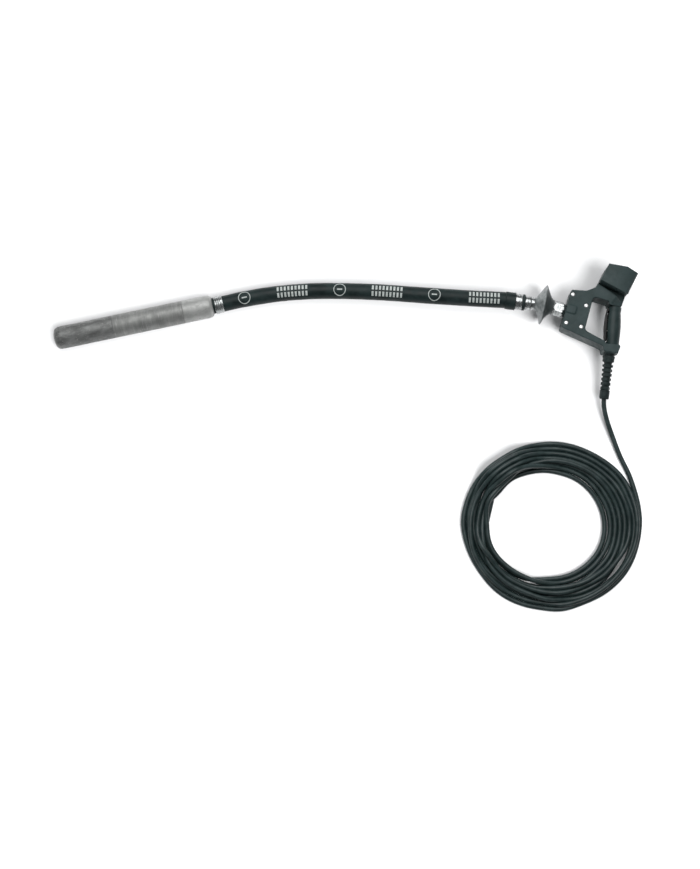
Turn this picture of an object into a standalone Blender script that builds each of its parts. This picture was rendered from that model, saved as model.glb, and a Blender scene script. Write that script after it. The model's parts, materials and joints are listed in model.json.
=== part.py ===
"""Concrete vibrator: a steel head with its motor inside, a rubber hose, a flexible coupling, a D-handle, a lead.

Metres, +Z up, standing on z = 0. +X runs from the head's nose towards the handle, +Y is the handle guard's side.
The tool lies on its side. Lengths written with MM are millimetres. Each sub-assembly has a frame of its own,
an empty whose +X is the axis that its turned pieces share.
"""

import math

import bmesh
import bpy
import numpy as np
from mathutils import Matrix, Vector

MM = 0.001
GAP = 0.3                     # between pieces that touch, mm
FINE = 24                     # sides of the large turned pieces
MEDIUM = 16
COARSE = 10
HOSE_SIDES = 12

# ---- driving dimensions, mm ----------------------------------------------------------------------------------
PIVOT = Vector((496.5, 71.9, 50.5))      # centre of the flexible coupling's ball
HANDLE_YAW = -16.1                       # the handle's axis, as it lies
COUPLING_YAW = -6.8                      # the hose end's axis, as it lies
HEAD_YAW = 12.1
HEAD_RADIUS = 28.5
HEAD_LENGTH = 403.0
HEAD_END = Vector((PIVOT.x - 827.0, PIVOT.y + 2.1, HEAD_RADIUS))
TUBE_BORE = 22.5
NOSE_LENGTH = 149.0                      # where the nose tube meets the stator tube
STATOR_END = 328.0                       # where the stator tube meets the end piece
SHAFT_RADIUS = 9.0
HOSE_RADIUS = 20.0
HOSE_BORE = 14.0
CABLE_RADIUS = 3.8
INNER_LEAD_RADIUS = 3.0
BALL_RADIUS = 11.0
RIM_RADIUS = 50.0
HALF_THICKNESS = 28.0                    # of the handle's two shells together
VALLEY_WEB = 7.0                         # half of what the arm keeps of its thickness beside the guard
GRIP_LENGTH = 97.8
LEVER_PIVOT = (8.0, -14.8)               # in the grip's frame
LEVER_TRAVEL = 52.0                      # how far down the lever the switch's plunger sits
LEAD_RADIUS = 6.0
LEAD_Z = LEAD_RADIUS + 0.2               # the lead's centre where it lies on the floor
COIL_CENTRE = Vector((PIVOT.x + 14.0, PIVOT.y - 548.0, 0.0))
COIL_OUTER = 221.0                       # half of the coil's size along X
COIL_INNER = 141.0
COIL_SQUASH = 0.937                      # its size along Y over its size along X
COIL_HEIGHT = 40.0
CONNECTOR_RADIUS = 16.0
CONNECTOR_TRACK = 189.0                  # half-size of the oval that the connector lies on
CONNECTOR_ANGLE = 125.0

FINISHES = {                             # base colour, roughness, metallic
    "cast_steel": ((0.26, 0.27, 0.27), 0.55, 0.9),
    "steel": ((0.42, 0.43, 0.42), 0.45, 0.9),
    "blasted_steel": ((0.55, 0.56, 0.55), 0.6, 0.8),
    "bright_steel": ((0.75, 0.76, 0.77), 0.18, 1.0),
    "core_steel": ((0.3, 0.3, 0.32), 0.4, 0.9),
    "copper": ((0.6, 0.28, 0.12), 0.35, 1.0),
    "zinc": ((0.85, 0.86, 0.86), 0.3, 0.9),
    "brass": ((0.72, 0.55, 0.25), 0.3, 1.0),
    "hose_rubber": ((0.018, 0.024, 0.024), 0.55, 0.0),
    "black_rubber": ((0.012, 0.014, 0.014), 0.6, 0.0),
    "bellows_rubber": ((0.16, 0.18, 0.18), 0.45, 0.0),
    "handle_plastic": ((0.035, 0.047, 0.047), 0.5, 0.0),
    "inner_plastic": ((0.6, 0.6, 0.56), 0.5, 0.0),
    "lead_rubber": ((0.014, 0.018, 0.018), 0.5, 0.0),
}


# ---- making objects ------------------------------------------------------------------------------------------
def finish_material(finish):
    """The Principled material of a finish, made once."""
    found = bpy.data.materials.get(finish)
    if found:
        return found
    colour, roughness, metallic = FINISHES[finish]
    made = bpy.data.materials.new(finish)
    made.use_nodes = True
    shader = made.node_tree.nodes["Principled BSDF"]
    shader.inputs["Base Color"].default_value = (*colour, 1.0)
    shader.inputs["Roughness"].default_value = roughness
    shader.inputs["Metallic"].default_value = metallic
    made.diffuse_color = (*colour, 1.0)
    return made


def add_frame(name, origin, yaw, pitch=0.0, parent=None):
    """An empty at origin (mm) whose +X has this yaw and, downwards, this pitch in degrees."""
    empty = bpy.data.objects.new(name, None)
    turn = Matrix.Rotation(math.radians(yaw), 4, "Z") @ Matrix.Rotation(math.radians(pitch), 4, "Y")
    empty.matrix_basis = Matrix.Translation(Vector(origin) * MM) @ turn
    empty.parent = parent
    bpy.context.scene.collection.objects.link(empty)
    return empty


def add_object(name, data, frame, finish, offset=(0.0, 0.0, 0.0)):
    """Links an object with this data into a frame, offset mm from the frame's origin."""
    obj = bpy.data.objects.new(name, data)
    bpy.context.scene.collection.objects.link(obj)
    obj.parent = frame
    obj.location = Vector(offset) * MM
    data.materials.append(finish_material(finish))
    return obj


def add_mesh(name, bm, frame, finish, offset=(0.0, 0.0, 0.0), smooth=True):
    """Turns a bmesh built in mm into an object whose faces point out."""
    bmesh.ops.scale(bm, vec=(MM, MM, MM), verts=bm.verts)
    bmesh.ops.recalc_face_normals(bm, faces=bm.faces)
    mesh = bpy.data.meshes.new(name)
    bm.to_mesh(mesh)
    bm.free()
    if smooth:
        mesh.shade_smooth()
        mesh.set_sharp_from_angle(angle=math.radians(35))
    return add_object(name, mesh, frame, finish, offset)


def as_cutter(obj):
    """Hides an object that only shapes another one."""
    obj.hide_render = True
    obj.display_type = "WIRE"
    return obj


def boolean(obj, operation, *others):
    """Adds one Boolean for each of the other objects, and hides those."""
    for other in others:
        modifier = obj.modifiers.new(operation.lower(), "BOOLEAN")
        modifier.operation = operation
        modifier.object = as_cutter(other)


# ---- shapes --------------------------------------------------------------------------------------------------
def bridge(bm, one, two):
    """Joins two rings of vertices, either of which may be a single point."""
    count = max(len(one), len(two))
    for i in range(count):
        j = (i + 1) % count
        corners = [one[i % len(one)], one[j % len(one)], two[j % len(two)], two[i % len(two)]]
        kept = [v for k, v in enumerate(corners) if v not in corners[:k]]
        bm.faces.new(kept)


def lathe(profile, sides):
    """Turns (x, radius) points about +X. A profile that starts off the axis is a closed ring section."""
    bm = bmesh.new()
    rings = []
    for x, radius in profile:
        angles = [math.tau * i / sides for i in range(sides)] if radius > 0 else [0.0]
        rings.append([bm.verts.new((x, radius * math.cos(a), radius * math.sin(a))) for a in angles])
    for one, two in zip(rings, rings[1:]):
        bridge(bm, one, two)
    if profile[0][1] > 0:
        bridge(bm, rings[-1], rings[0])
    return bm


def ring_section(start, end, outer, inner):
    """The profile of a plain ring or tube."""
    return [(start, inner), (start, outer), (end, outer), (end, inner)]


def rod_section(start, end, radius):
    """The profile of a plain rod."""
    return [(start, 0.0), (start, radius), (end, radius), (end, 0.0)]


def arc_points(centre_x, radius, start, end, count):
    """Points (x, r) on a circle about (centre_x, 0), from one angle to another in degrees."""
    steps = [math.radians(start + (end - start) * i / (count - 1)) for i in range(count)]
    return [(centre_x + radius * math.cos(a), radius * math.sin(a)) for a in steps]


def block(low, high):
    """A box between two corners, mm."""
    bm = bmesh.new()
    bmesh.ops.create_cube(bm, size=1.0)
    size = [b - a for a, b in zip(low, high)]
    bmesh.ops.scale(bm, vec=size, verts=bm.verts)
    bmesh.ops.translate(bm, vec=[(a + b) / 2 for a, b in zip(low, high)], verts=bm.verts)
    return bm


def rounded_outline(corners, steps=4):
    """The points of a closed outline of (x, y, radius) corners, each rounded by an arc."""
    points = []
    for i, (x, y, radius) in enumerate(corners):
        here = Vector((x, y))
        before = (Vector(corners[i - 1][:2]) - here).normalized()
        after = (Vector(corners[(i + 1) % len(corners)][:2]) - here).normalized()
        if radius <= 0:
            points.append(here)
            continue
        half = before.angle(after) / 2
        centre = here + (before + after).normalized() * (radius / math.sin(half))
        start = here + before * (radius / math.tan(half)) - centre
        end = here + after * (radius / math.tan(half)) - centre
        sweep = math.atan2(start.x * end.y - start.y * end.x, start.dot(end))
        for k in range(steps + 1):
            points.append(centre + Matrix.Rotation(sweep * k / steps, 2) @ start)
    return points


def prism(outline, low, high, bevel=0.0, bevel_at=1):
    """Extrudes an outline along Z. Its edges at the high end (1) or the low end (-1) can be rounded."""
    bm = bmesh.new()
    face = bm.faces.new([bm.verts.new((p[0], p[1], low)) for p in outline])
    made = bmesh.ops.extrude_face_region(bm, geom=[face])
    top = [v for v in made["geom"] if isinstance(v, bmesh.types.BMVert)]
    bmesh.ops.translate(bm, vec=(0, 0, high - low), verts=top)
    if bevel:
        level = high if bevel_at > 0 else low
        rim = [e for e in bm.edges if all(abs(v.co.z - level) < 1e-6 for v in e.verts)]
        bmesh.ops.bevel(bm, geom=rim, offset=bevel, segments=2, profile=0.5, affect="EDGES")
    return bm


def hull(points):
    """The convex hull of points, mm."""
    bm = bmesh.new()
    verts = [bm.verts.new(p) for p in points]
    done = bmesh.ops.convex_hull(bm, input=verts)
    loose = {v for key in ("geom_interior", "geom_unused") for v in done[key] if isinstance(v, bmesh.types.BMVert)}
    bmesh.ops.delete(bm, geom=list(loose), context="VERTS")
    bmesh.ops.dissolve_limit(bm, angle_limit=0.01, verts=bm.verts, edges=bm.edges)
    return bm


def smooth_path(points, count):
    """Even samples along the Catmull-Rom curve through points."""
    p = np.array([tuple(q) for q in points], dtype=float)
    p = np.vstack([2 * p[0] - p[1], p, 2 * p[-1] - p[-2]])
    dense = []
    for i in range(1, len(p) - 2):
        for t in np.linspace(0, 1, 24, endpoint=False):
            a = 2 * p[i] + (p[i + 1] - p[i - 1]) * t
            b = (2 * p[i - 1] - 5 * p[i] + 4 * p[i + 1] - p[i + 2]) * t ** 2
            c = (3 * p[i] - p[i - 1] - 3 * p[i + 1] + p[i + 2]) * t ** 3
            dense.append((a + b + c) / 2)
    dense = np.array(dense + [p[-2]])
    along = np.concatenate([[0], np.cumsum(np.linalg.norm(np.diff(dense, axis=0), axis=1))])
    wanted = np.linspace(0, along[-1], count)
    return np.column_stack([np.interp(wanted, along, dense[:, k]) for k in range(3)])


def swept_tube(path, radii, bore, sides):
    """A tube along a path, with an outer radius for each of its points. It is solid where the bore is 0."""
    bm = bmesh.new()
    tangents = np.gradient(path, axis=0)
    outer, inner = [], []
    for point, tangent, radius in zip(path, tangents, radii):
        along = Vector(tangent).normalized()
        side = Vector((0, 0, 1)).cross(along).normalized()
        up = along.cross(side)
        spokes = [side * math.cos(math.tau * i / sides) + up * math.sin(math.tau * i / sides) for i in range(sides)]
        outer.append([bm.verts.new(Vector(point) + s * radius) for s in spokes])
        if bore:
            inner.append([bm.verts.new(Vector(point) + s * bore) for s in spokes])
    rings = outer + inner[::-1] + outer[:1] if bore else outer
    for one, two in zip(rings, rings[1:]):
        bridge(bm, one, two)
    if not bore:
        bm.faces.new(outer[0])
        bm.faces.new(outer[-1])
    return bm


def swept_cutter(name, path, radius):
    """A solid round bar along a path in the world, to cut with."""
    return add_mesh(name, swept_tube(path, [radius] * len(path), 0.0, COARSE), None, "steel")


def round_cable(name, path, radius, finish, resolution=2):
    """A solid cable along a path in the world, as a bevelled curve with filled caps."""
    curve = bpy.data.curves.new(name, "CURVE")
    curve.dimensions = "3D"
    curve.bevel_depth = radius * MM
    curve.bevel_resolution = resolution
    curve.use_fill_caps = True
    spline = curve.splines.new("POLY")
    spline.points.add(len(path) - 1)
    for point, place in zip(spline.points, path):
        point.co = (*(np.array(place) * MM), 1.0)
    return add_object(name, curve, None, finish)


def helix_spring(turns, coil_radius, wire, length):
    """A coil spring along +Y that starts at y = 0, as a mesh."""
    bm = bmesh.new()
    steps = int(turns * 10)
    rings = []
    for i in range(steps + 1):
        a = math.tau * turns * i / steps
        centre = Vector((coil_radius * math.cos(a), wire + (length - 2 * wire) * i / steps, coil_radius * math.sin(a)))
        out = Vector((math.cos(a), 0, math.sin(a)))
        spokes = [out * math.cos(b) + Vector((0, 1, 0)) * math.sin(b) for b in (0, 1.257, 2.513, 3.770, 5.027)]
        rings.append([bm.verts.new(centre + s * wire) for s in spokes])
    for one, two in zip(rings, rings[1:]):
        bridge(bm, one, two)
    bm.faces.new(rings[0])
    bm.faces.new(rings[-1])
    return bm


# ---- head ----------------------------------------------------------------------------------------------------
def head_casing(frame):
    """The nose tube, the stator tube, the end piece and the seals where they screw together."""
    thread, bore = 26.1, TUBE_BORE
    spigot = thread - GAP
    nose = [(0, 0), (0, 15), (1.2, 19.5), (4, 23.6), (8, 26.6), (14, 28.2), (16, HEAD_RADIUS),
            (NOSE_LENGTH, HEAD_RADIUS), (NOSE_LENGTH, thread), (136.8, thread), (136.8, bore), (12, bore), (12, 0)]
    add_mesh("nose_tube", lathe(nose, FINE), frame, "cast_steel")
    start, end = NOSE_LENGTH + GAP, STATOR_END - GAP
    stator = [(start, HEAD_RADIUS), (end, HEAD_RADIUS), (end, spigot), (332, spigot), (332, 24.4), (335, 24.4),
              (335, spigot), (340, spigot), (340, bore), (137.3, bore), (137.3, spigot), (142, spigot),
              (142, 24.4), (145, 24.4), (145, spigot), (start, spigot)]
    add_mesh("stator_tube", lathe(stator, FINE), frame, "steel")
    end_piece = [(STATOR_END, thread), (STATOR_END, HEAD_RADIUS), (389, HEAD_RADIUS), (396, 27.5), (400.5, 25),
                 (HEAD_LENGTH, 21.5), (HEAD_LENGTH, 12.8), (438, 12.8), (438, 6.5), (376, 6.5), (366, 20),
                 (340.5, 20), (340.5, thread)]
    add_mesh("end_piece", lathe(end_piece, FINE), frame, "blasted_steel")
    for name, place in (("nose_oring", 142.3), ("end_oring", 332.3)):
        add_mesh(name, lathe(ring_section(place, place + 2.4, 25.6, 24.8), FINE), frame, "black_rubber")


def head_motor(frame):
    """The stator's iron and windings, and the seal that keeps the bearing oil out of them."""
    add_mesh("stator_core", lathe(ring_section(176.3, 286, 22.2, 14.4), MEDIUM), frame, "core_steel")
    for name, start, end in (("front_winding", 154, 176), ("rear_winding", 286.3, 308)):
        middle = (start + end) / 2
        section = [(start, 17), (start, 20), (middle, 22), (end, 22), (end, 15), (middle, 15)]
        add_mesh(name, lathe(section, MEDIUM), frame, "copper")
    add_mesh("oil_seal", lathe(ring_section(140, 147, 22.2, 9.5), MEDIUM), frame, "black_rubber")


def rotor(frame):
    """The shaft, its rotor iron and the eccentric weight, which hangs below the axis."""
    add_mesh("rotor_shaft", lathe(rod_section(14, 334, SHAFT_RADIUS), COARSE), frame, "bright_steel")
    bore = SHAFT_RADIUS + GAP
    add_mesh("rotor_core", lathe(ring_section(178, 284, 13.6, bore), MEDIUM), frame, "core_steel")
    weight = add_mesh("eccentric_weight", lathe(ring_section(36, 116, 21.2, bore), MEDIUM), frame, "cast_steel")
    top = add_mesh("cut_weight", block((30, -30, 2), (120, 30, 30)), frame, "steel")
    keeper = add_mesh("weight_hub", lathe(ring_section(36, 116, 12.5, bore), MEDIUM), frame, "steel")
    boolean(weight, "DIFFERENCE", top)
    boolean(weight, "UNION", keeper)


def ball_bearing(label, place, frame, rotor_frame, cage_frame):
    """One ball bearing: its outer race in the tube, its inner race on the shaft, its balls and cage between."""
    width, pitch, ball = 13.0, 15.5, 2.9
    add_mesh(f"{label}_outer_race", lathe(ring_section(place, place + width, 22.2, 18.8), MEDIUM), frame,
             "bright_steel")
    add_mesh(f"{label}_inner_race", lathe(ring_section(place, place + width, 12.3, SHAFT_RADIUS + GAP), MEDIUM),
             rotor_frame, "bright_steel")
    middle = place + width / 2
    cage_section = ring_section(middle - 1.5, middle + 1.5, pitch + 1.3, pitch - 1.3)
    cage = add_mesh(f"{label}_ball_cage", lathe(cage_section, MEDIUM), cage_frame, "brass")
    for i in range(8):
        a = math.tau * i / 8
        bm = bmesh.new()
        bmesh.ops.create_icosphere(bm, subdivisions=1, radius=ball)
        ball_obj = add_mesh(f"{label}_ball_{i + 1}", bm, cage_frame, "bright_steel",
                            (middle, pitch * math.cos(a), pitch * math.sin(a)))
        boolean(cage, "UNION", ball_obj)


# ---- hose and coupling ---------------------------------------------------------------------------------------
def head_place(x):
    """A point on the head's axis, x mm from the nose."""
    yaw = math.radians(HEAD_YAW)
    back = HEAD_LENGTH - x
    return Vector((HEAD_END.x - back * math.cos(yaw), HEAD_END.y - back * math.sin(yaw), HEAD_END.z))


def coupling_place(x):
    """A point on the coupling's axis, x mm from the ball's centre."""
    yaw = math.radians(COUPLING_YAW)
    return PIVOT + Vector((x * math.cos(yaw), x * math.sin(yaw), 0.0))


def handle_place(x, y=0.0, z=0.0):
    """A point in the handle's frame, in world mm."""
    return PIVOT + Matrix.Rotation(math.radians(HANDLE_YAW), 3, "Z") @ Vector((x, y, z))


def hose_route(start, end):
    """The hose's centreline from one end to the other: it leaves both fittings along their axes."""
    middle = [(-757, 17.4, -21.0), (-681, 30.0, -18.2), (-606, 36.6, -14.6), (-531, 38.0, -11.0), (-418, 33.9, -6.2),
              (-305, 25.2, -2.8), (-193, 17.2, -0.6)]
    points = [head_place(start), head_place(420), head_place(438)]
    points += [PIVOT + Vector(p) for p in middle]
    points += [coupling_place(-105), coupling_place(-88), coupling_place(end)]
    return points


def hose(head_frame):
    """The protective hose, the cable in it and the clamp that holds it on the head."""
    path = smooth_path(hose_route(HEAD_LENGTH + 0.6, -71.1), 26)
    cuff = 2.2
    radii = [HOSE_RADIUS + cuff * max(0.0, (i - 24.2) / 0.8) for i in range(len(path))]
    add_mesh("protective_hose", swept_tube(path, radii, HOSE_BORE, HOSE_SIDES), None, "hose_rubber")
    points = hose_route(368, -50) + [coupling_place(-10), handle_place(10), handle_place(40), handle_place(66.5)]
    round_cable("hose_cable", smooth_path(points, 40), CABLE_RADIUS, "black_rubber")
    add_mesh("head_hose_clamp", lathe(ring_section(408.5, 429.5, 21.7, 20.7), FINE), head_frame, "bright_steel")


def coupling(frame):
    """The hose's rear end: ferrule, rubber ring, sleeve, collar, and the ball stud that holds them together."""
    bore = 10.3
    ferrule = [(-53.5, bore), (-53.5, 19.8), (-70.8, 19.8), (-70.8, 12.8), (-105, 12.8), (-105, 6.5), (-60, 6.5),
               (-60, bore)]
    add_mesh("rear_ferrule", lathe(ferrule, MEDIUM), frame, "bright_steel")
    add_mesh("ferrule_ring", lathe(ring_section(-53.2, -46.8, 20.5, bore), MEDIUM), frame, "black_rubber")
    add_mesh("coupling_sleeve", lathe(ring_section(-46.5, -31.3, 17.5, bore), MEDIUM), frame, "bright_steel")
    collar = [(-31, 15.2), (-22.3, 15.2), (-22.3, 12), (-17.5, 12), (-17.5, 7.2), (-23.7, 7.2), (-23.7, bore),
              (-31, bore)]
    add_mesh("neck_collar", lathe(collar, MEDIUM), frame, "steel")
    neck, cable_bore, shank = 6.8, 5.6, 10.0
    first = math.degrees(math.asin(cable_bore / BALL_RADIUS))
    last = 180 - math.degrees(math.asin(neck / BALL_RADIUS))
    stud = arc_points(0, BALL_RADIUS, first, last, 9)
    stud += [(-24, neck), (-24, shank), (-59.7, shank), (-59.7, cable_bore)]
    add_mesh("ball_stud", lathe(stud, MEDIUM), frame, "bright_steel")


def bellows():
    """The double cone of rubber over the ball joint. Its left neck follows the hose, its right neck the handle."""
    outer = [(-22, 15.2, 0), (-21, 17, 0), (-2.5, 47.8, 0.5), (0, RIM_RADIUS, 0.5), (2.5, 47.8, 0.5), (22, 18.6, 1),
             (25, 17.6, 1)]
    inner = [(25, 15.4, 1), (19.5, 15.4, 1), (1.6, 45.4, 0.5), (0, 47.4, 0.5), (-1.6, 45.4, 0.5), (-17.8, 17, 0),
             (-17.8, 12.4, 0), (-22, 12.4, 0)]
    bm = bmesh.new()
    rings = []
    for x, radius, mix in outer + inner:
        yaw = COUPLING_YAW + (HANDLE_YAW - COUPLING_YAW) * mix
        turn = Matrix.Rotation(math.radians(yaw), 3, "Z")
        angles = [math.tau * i / FINE for i in range(FINE)]
        places = [Vector((x, radius * math.cos(a), radius * math.sin(a))) for a in angles]
        rings.append([bm.verts.new(PIVOT + turn @ p) for p in places])
    for one, two in zip(rings, rings[1:] + rings[:1]):
        bridge(bm, one, two)
    add_mesh("bellows", bm, None, "bellows_rubber")


def handle_joint(frame):
    """The handle's side of the ball joint: the socket, the union nut that clamps it and the seal on the shells."""
    cavity = BALL_RADIUS + 0.5
    stem, cable_bore, mouth = 9.7, 5.7, -5.0
    first = math.degrees(math.acos(mouth / cavity))
    last = math.degrees(math.asin(cable_bore / cavity))
    socket = arc_points(0, cavity, first, last, 8)
    socket += [(64.5, cable_bore), (64.5, 13.5), (60.3, 13.5), (60.3, stem), (24, stem), (24, 15), (mouth, 15)]
    add_mesh("ball_socket", lathe(socket, MEDIUM), frame, "steel")
    nut_radius, bore = 19.0, stem + GAP + 0.1
    nut = add_mesh("union_nut", lathe(ring_section(27.5, 50.3, nut_radius, bore), 6), frame, "bright_steel")
    hole = add_mesh("nut_bore", lathe(rod_section(26, 52, bore + 0.2), MEDIUM), frame, "steel")
    boolean(nut, "DIFFERENCE", hole)
    add_mesh("joint_seal", lathe(ring_section(50.6, 55.1, 16, bore), MEDIUM), frame, "black_rubber")


# ---- handle --------------------------------------------------------------------------------------------------
SCREW_PLACES = ((62.3, 39.1), (101.1, 20.7), (64.7, -34.8), (102.8, -34.6))
GRIP_TOP = (171.5, 42.0)                 # centre of the grip's upper end, in the handle's frame
GRIP_YAW = -78.5                         # the grip's axis in the handle's frame
RELIEF_START = (189.6, -76.0)            # where the lead's strain relief leaves the handle
RELIEF_YAW = -80.0
RELIEF_PITCH = 12.0
RELIEF_LENGTH = 112.0


def handle_outline():
    """The handle's outline without the grip: the body, the arm above, the beam and boss below."""
    return rounded_outline([
        (55.5, -49, 5), (168, -66.5, 4), (171, -78, 4.6), (207, -74, 4.6), (209.6, -50.7, 4.6), (171.3, -58.3, 1),
        (168, -52.2, 4.6), (113.5, -40, 3), (112.5, 48, 3), (152, 47, 2), (155.0, 38.9, 4.6), (187.5, 45.6, 4.6),
        (190.6, 77, 4.6), (116.1, 84, 4.6), (111.9, 72.9, 12), (92.8, 57.9, 20), (55.5, 50, 4.6)])


def inner_lead_route():
    """The stripped lead's way from the gland through the lower beam to the terminal block."""
    places = [(187.7, -64.0), (181, -63.3), (174, -61.6), (165, -58.8), (150, -55.7), (135, -52.9), (120, -49.6),
              (103, -45.2), (92, -40), (86, -30), (84, -18.8)]
    return [handle_place(x, y) for x, y in places]


def bore_cutter(name, frame, start, end, radius):
    """A round bore along a frame's axis."""
    return add_mesh(name, lathe(rod_section(start, end, radius), MEDIUM), frame, "steel")


def body_cutters(frame, label):
    """What the body leaves open inside: the terminal space with its screw pillars, the stem's bore, the lead's way."""
    cavity = add_mesh(f"{label}_cavity", block((59.9, -43.5, -23.5), (109, 45, 23.5)), frame, "inner_plastic")
    for i, place in enumerate(SCREW_PLACES):
        pillar = screw_hole([(-30, 0), (-30, 5.0), (30, 5.0), (30, 0)], place)
        boolean(cavity, "DIFFERENCE", add_mesh(f"{label}_pillar_{i + 1}", pillar, frame, "inner_plastic"))
    return [cavity, lead_way(f"{label}_lead_way"), bore_cutter(f"{label}_stem_bore", frame, 50, 62, 10.1)]


def lead_way(name):
    """The channel of the stripped lead."""
    return swept_cutter(name, smooth_path(inner_lead_route(), 20), 4.4)


def valley_outline():
    """The deep valley between the arm's curved ridge and the guard, narrow at its left end."""
    return rounded_outline([
        (116, 82.6, 0.4), (133.8, 77.6, 10), (148, 72.5, 10), (158.7, 68.3, 10), (172.0, 62.6, 8), (184, 56.5, 3),
        (200, 56.5, 1), (200, 92, 1), (116, 92, 1)])


def arm_cutters(frame, grip_frame, label, side):
    """What the arm leaves open: the valley beside the guard, and the bores for the grip's core and the guard's bolt."""
    bolt = lathe([(52, 0), (52, 8.4), (62.6, 8.4), (62.6, 4.5), (90, 4.5), (90, 0)], COARSE)
    bmesh.ops.rotate(bolt, verts=bolt.verts, matrix=Matrix.Rotation(math.radians(90), 3, "Z"))
    bmesh.ops.translate(bolt, verts=bolt.verts, vec=(153, 0, 0))
    depth = (VALLEY_WEB, 40) if side > 0 else (-40, -VALLEY_WEB)
    return [bore_cutter(f"{label}_core_top", grip_frame, -10.2, 2, 12.4),
            add_mesh(f"{label}_bolt_bore", bolt, frame, "steel"),
            add_mesh(f"{label}_valley", prism(valley_outline(), *depth), frame, "steel")]


def beam_cutters(grip_frame, relief_frame, label):
    """What the beam leaves open inside: the lead's way and the bores for the grip's core and the gland."""
    return [lead_way(f"{label}_lead_way"), bore_cutter(f"{label}_core_end", grip_frame, 95, 101.1, 12.4),
            bore_cutter(f"{label}_gland_bore", relief_frame, -10.4, 12, 12.4)]


def screw_hole(profile, place):
    """A hole or screw along -Z at a place on the handle: x in the profile is the height above the mid-plane."""
    bm = lathe(profile, COARSE)
    bmesh.ops.rotate(bm, verts=bm.verts, matrix=Matrix.Rotation(math.radians(-90), 3, "Y"))
    bmesh.ops.translate(bm, verts=bm.verts, vec=(*place, 0))
    return bm


def boss_section():
    """The round boss round the grip's lower end, along the grip's axis."""
    return [(98.0, 0), (98.0, 18.5), (102, 21.3), (115.5, 21.3), (120.5, 17.5), (120.5, 0)]


def casing_blank(name, frame, side, *removed):
    """One half's outline over the whole thickness of that half, less boxes between two corners (x, y)."""
    seam = GAP / 2
    span = (seam, HALF_THICKNESS) if side > 0 else (-HALF_THICKNESS, -seam)
    blank = add_mesh(name, prism(handle_outline(), *span, 4.0, side), frame, "handle_plastic")
    for i, (low, high) in enumerate(removed):
        box = block((*low, -60), (*high, 60))
        boolean(blank, "DIFFERENCE", add_mesh(f"{name}_removed_{i + 1}", box, frame, "handle_plastic"))
    return blank


def handle_shells(frame, grip_frame, relief_frame):
    """The casing's two halves, which meet at the handle's middle plane. Each half is a body, an arm and a beam."""
    joint = 113.4
    before = ((0, -160), (joint + GAP / 2, 160))
    for label, side in (("top", 1), ("bottom", -1)):
        body = casing_blank(f"handle_body_{label}", frame, side, ((joint - GAP / 2, -160), (270, 160)))
        if side > 0:
            boolean(body, "UNION", add_mesh("axis_rib", block((55.9, -8.5, 10), (80, 11.5, 30)), frame, "steel"))
        boolean(body, "DIFFERENCE", *body_cutters(frame, f"{label}_body"))
        for i, place in enumerate(SCREW_PLACES):
            if side > 0:
                hole = [(-5, 0), (-5, 2.4), (25, 2.4), (25, 6.2), (33, 6.2), (33, 0)]
            else:
                hole = [(-22, 0), (-22, 2.4), (5, 2.4), (5, 0)]
            boolean(body, "DIFFERENCE",
                    add_mesh(f"{label}_screw_hole_{i + 1}", screw_hole(hole, place), frame, "steel"))
        arm = casing_blank(f"handle_arm_{label}", frame, side, before, ((100, -170), (280, 20)))
        boolean(arm, "DIFFERENCE", *arm_cutters(frame, grip_frame, f"{label}_arm", side))
        beam = casing_blank(f"handle_beam_{label}", frame, side, before, ((100, 0), (280, 170)))
        boss = add_mesh(f"{label}_boss", lathe(boss_section(), MEDIUM), grip_frame, "handle_plastic", (0, -4.5, 0))
        other_side = (-60, GAP / 2) if side > 0 else (-GAP / 2, 60)
        half = add_mesh(f"{label}_other_half", block((120, -150, other_side[0]), (260, 0, other_side[1])), frame,
                        "handle_plastic")
        boolean(boss, "DIFFERENCE", half)
        boolean(beam, "UNION", boss)
        boolean(beam, "DIFFERENCE", *beam_cutters(grip_frame, relief_frame, f"{label}_beam"))
    for i, place in enumerate(SCREW_PLACES):
        screw = [(-21, 0), (-21, 2.0), (25.3, 2.0), (25.3, 4.6), (27.2, 4.6), (28.0, 3.4), (28.0, 0)]
        add_mesh(f"case_screw_{i + 1}", screw_hole(screw, place), frame, "zinc")


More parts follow.
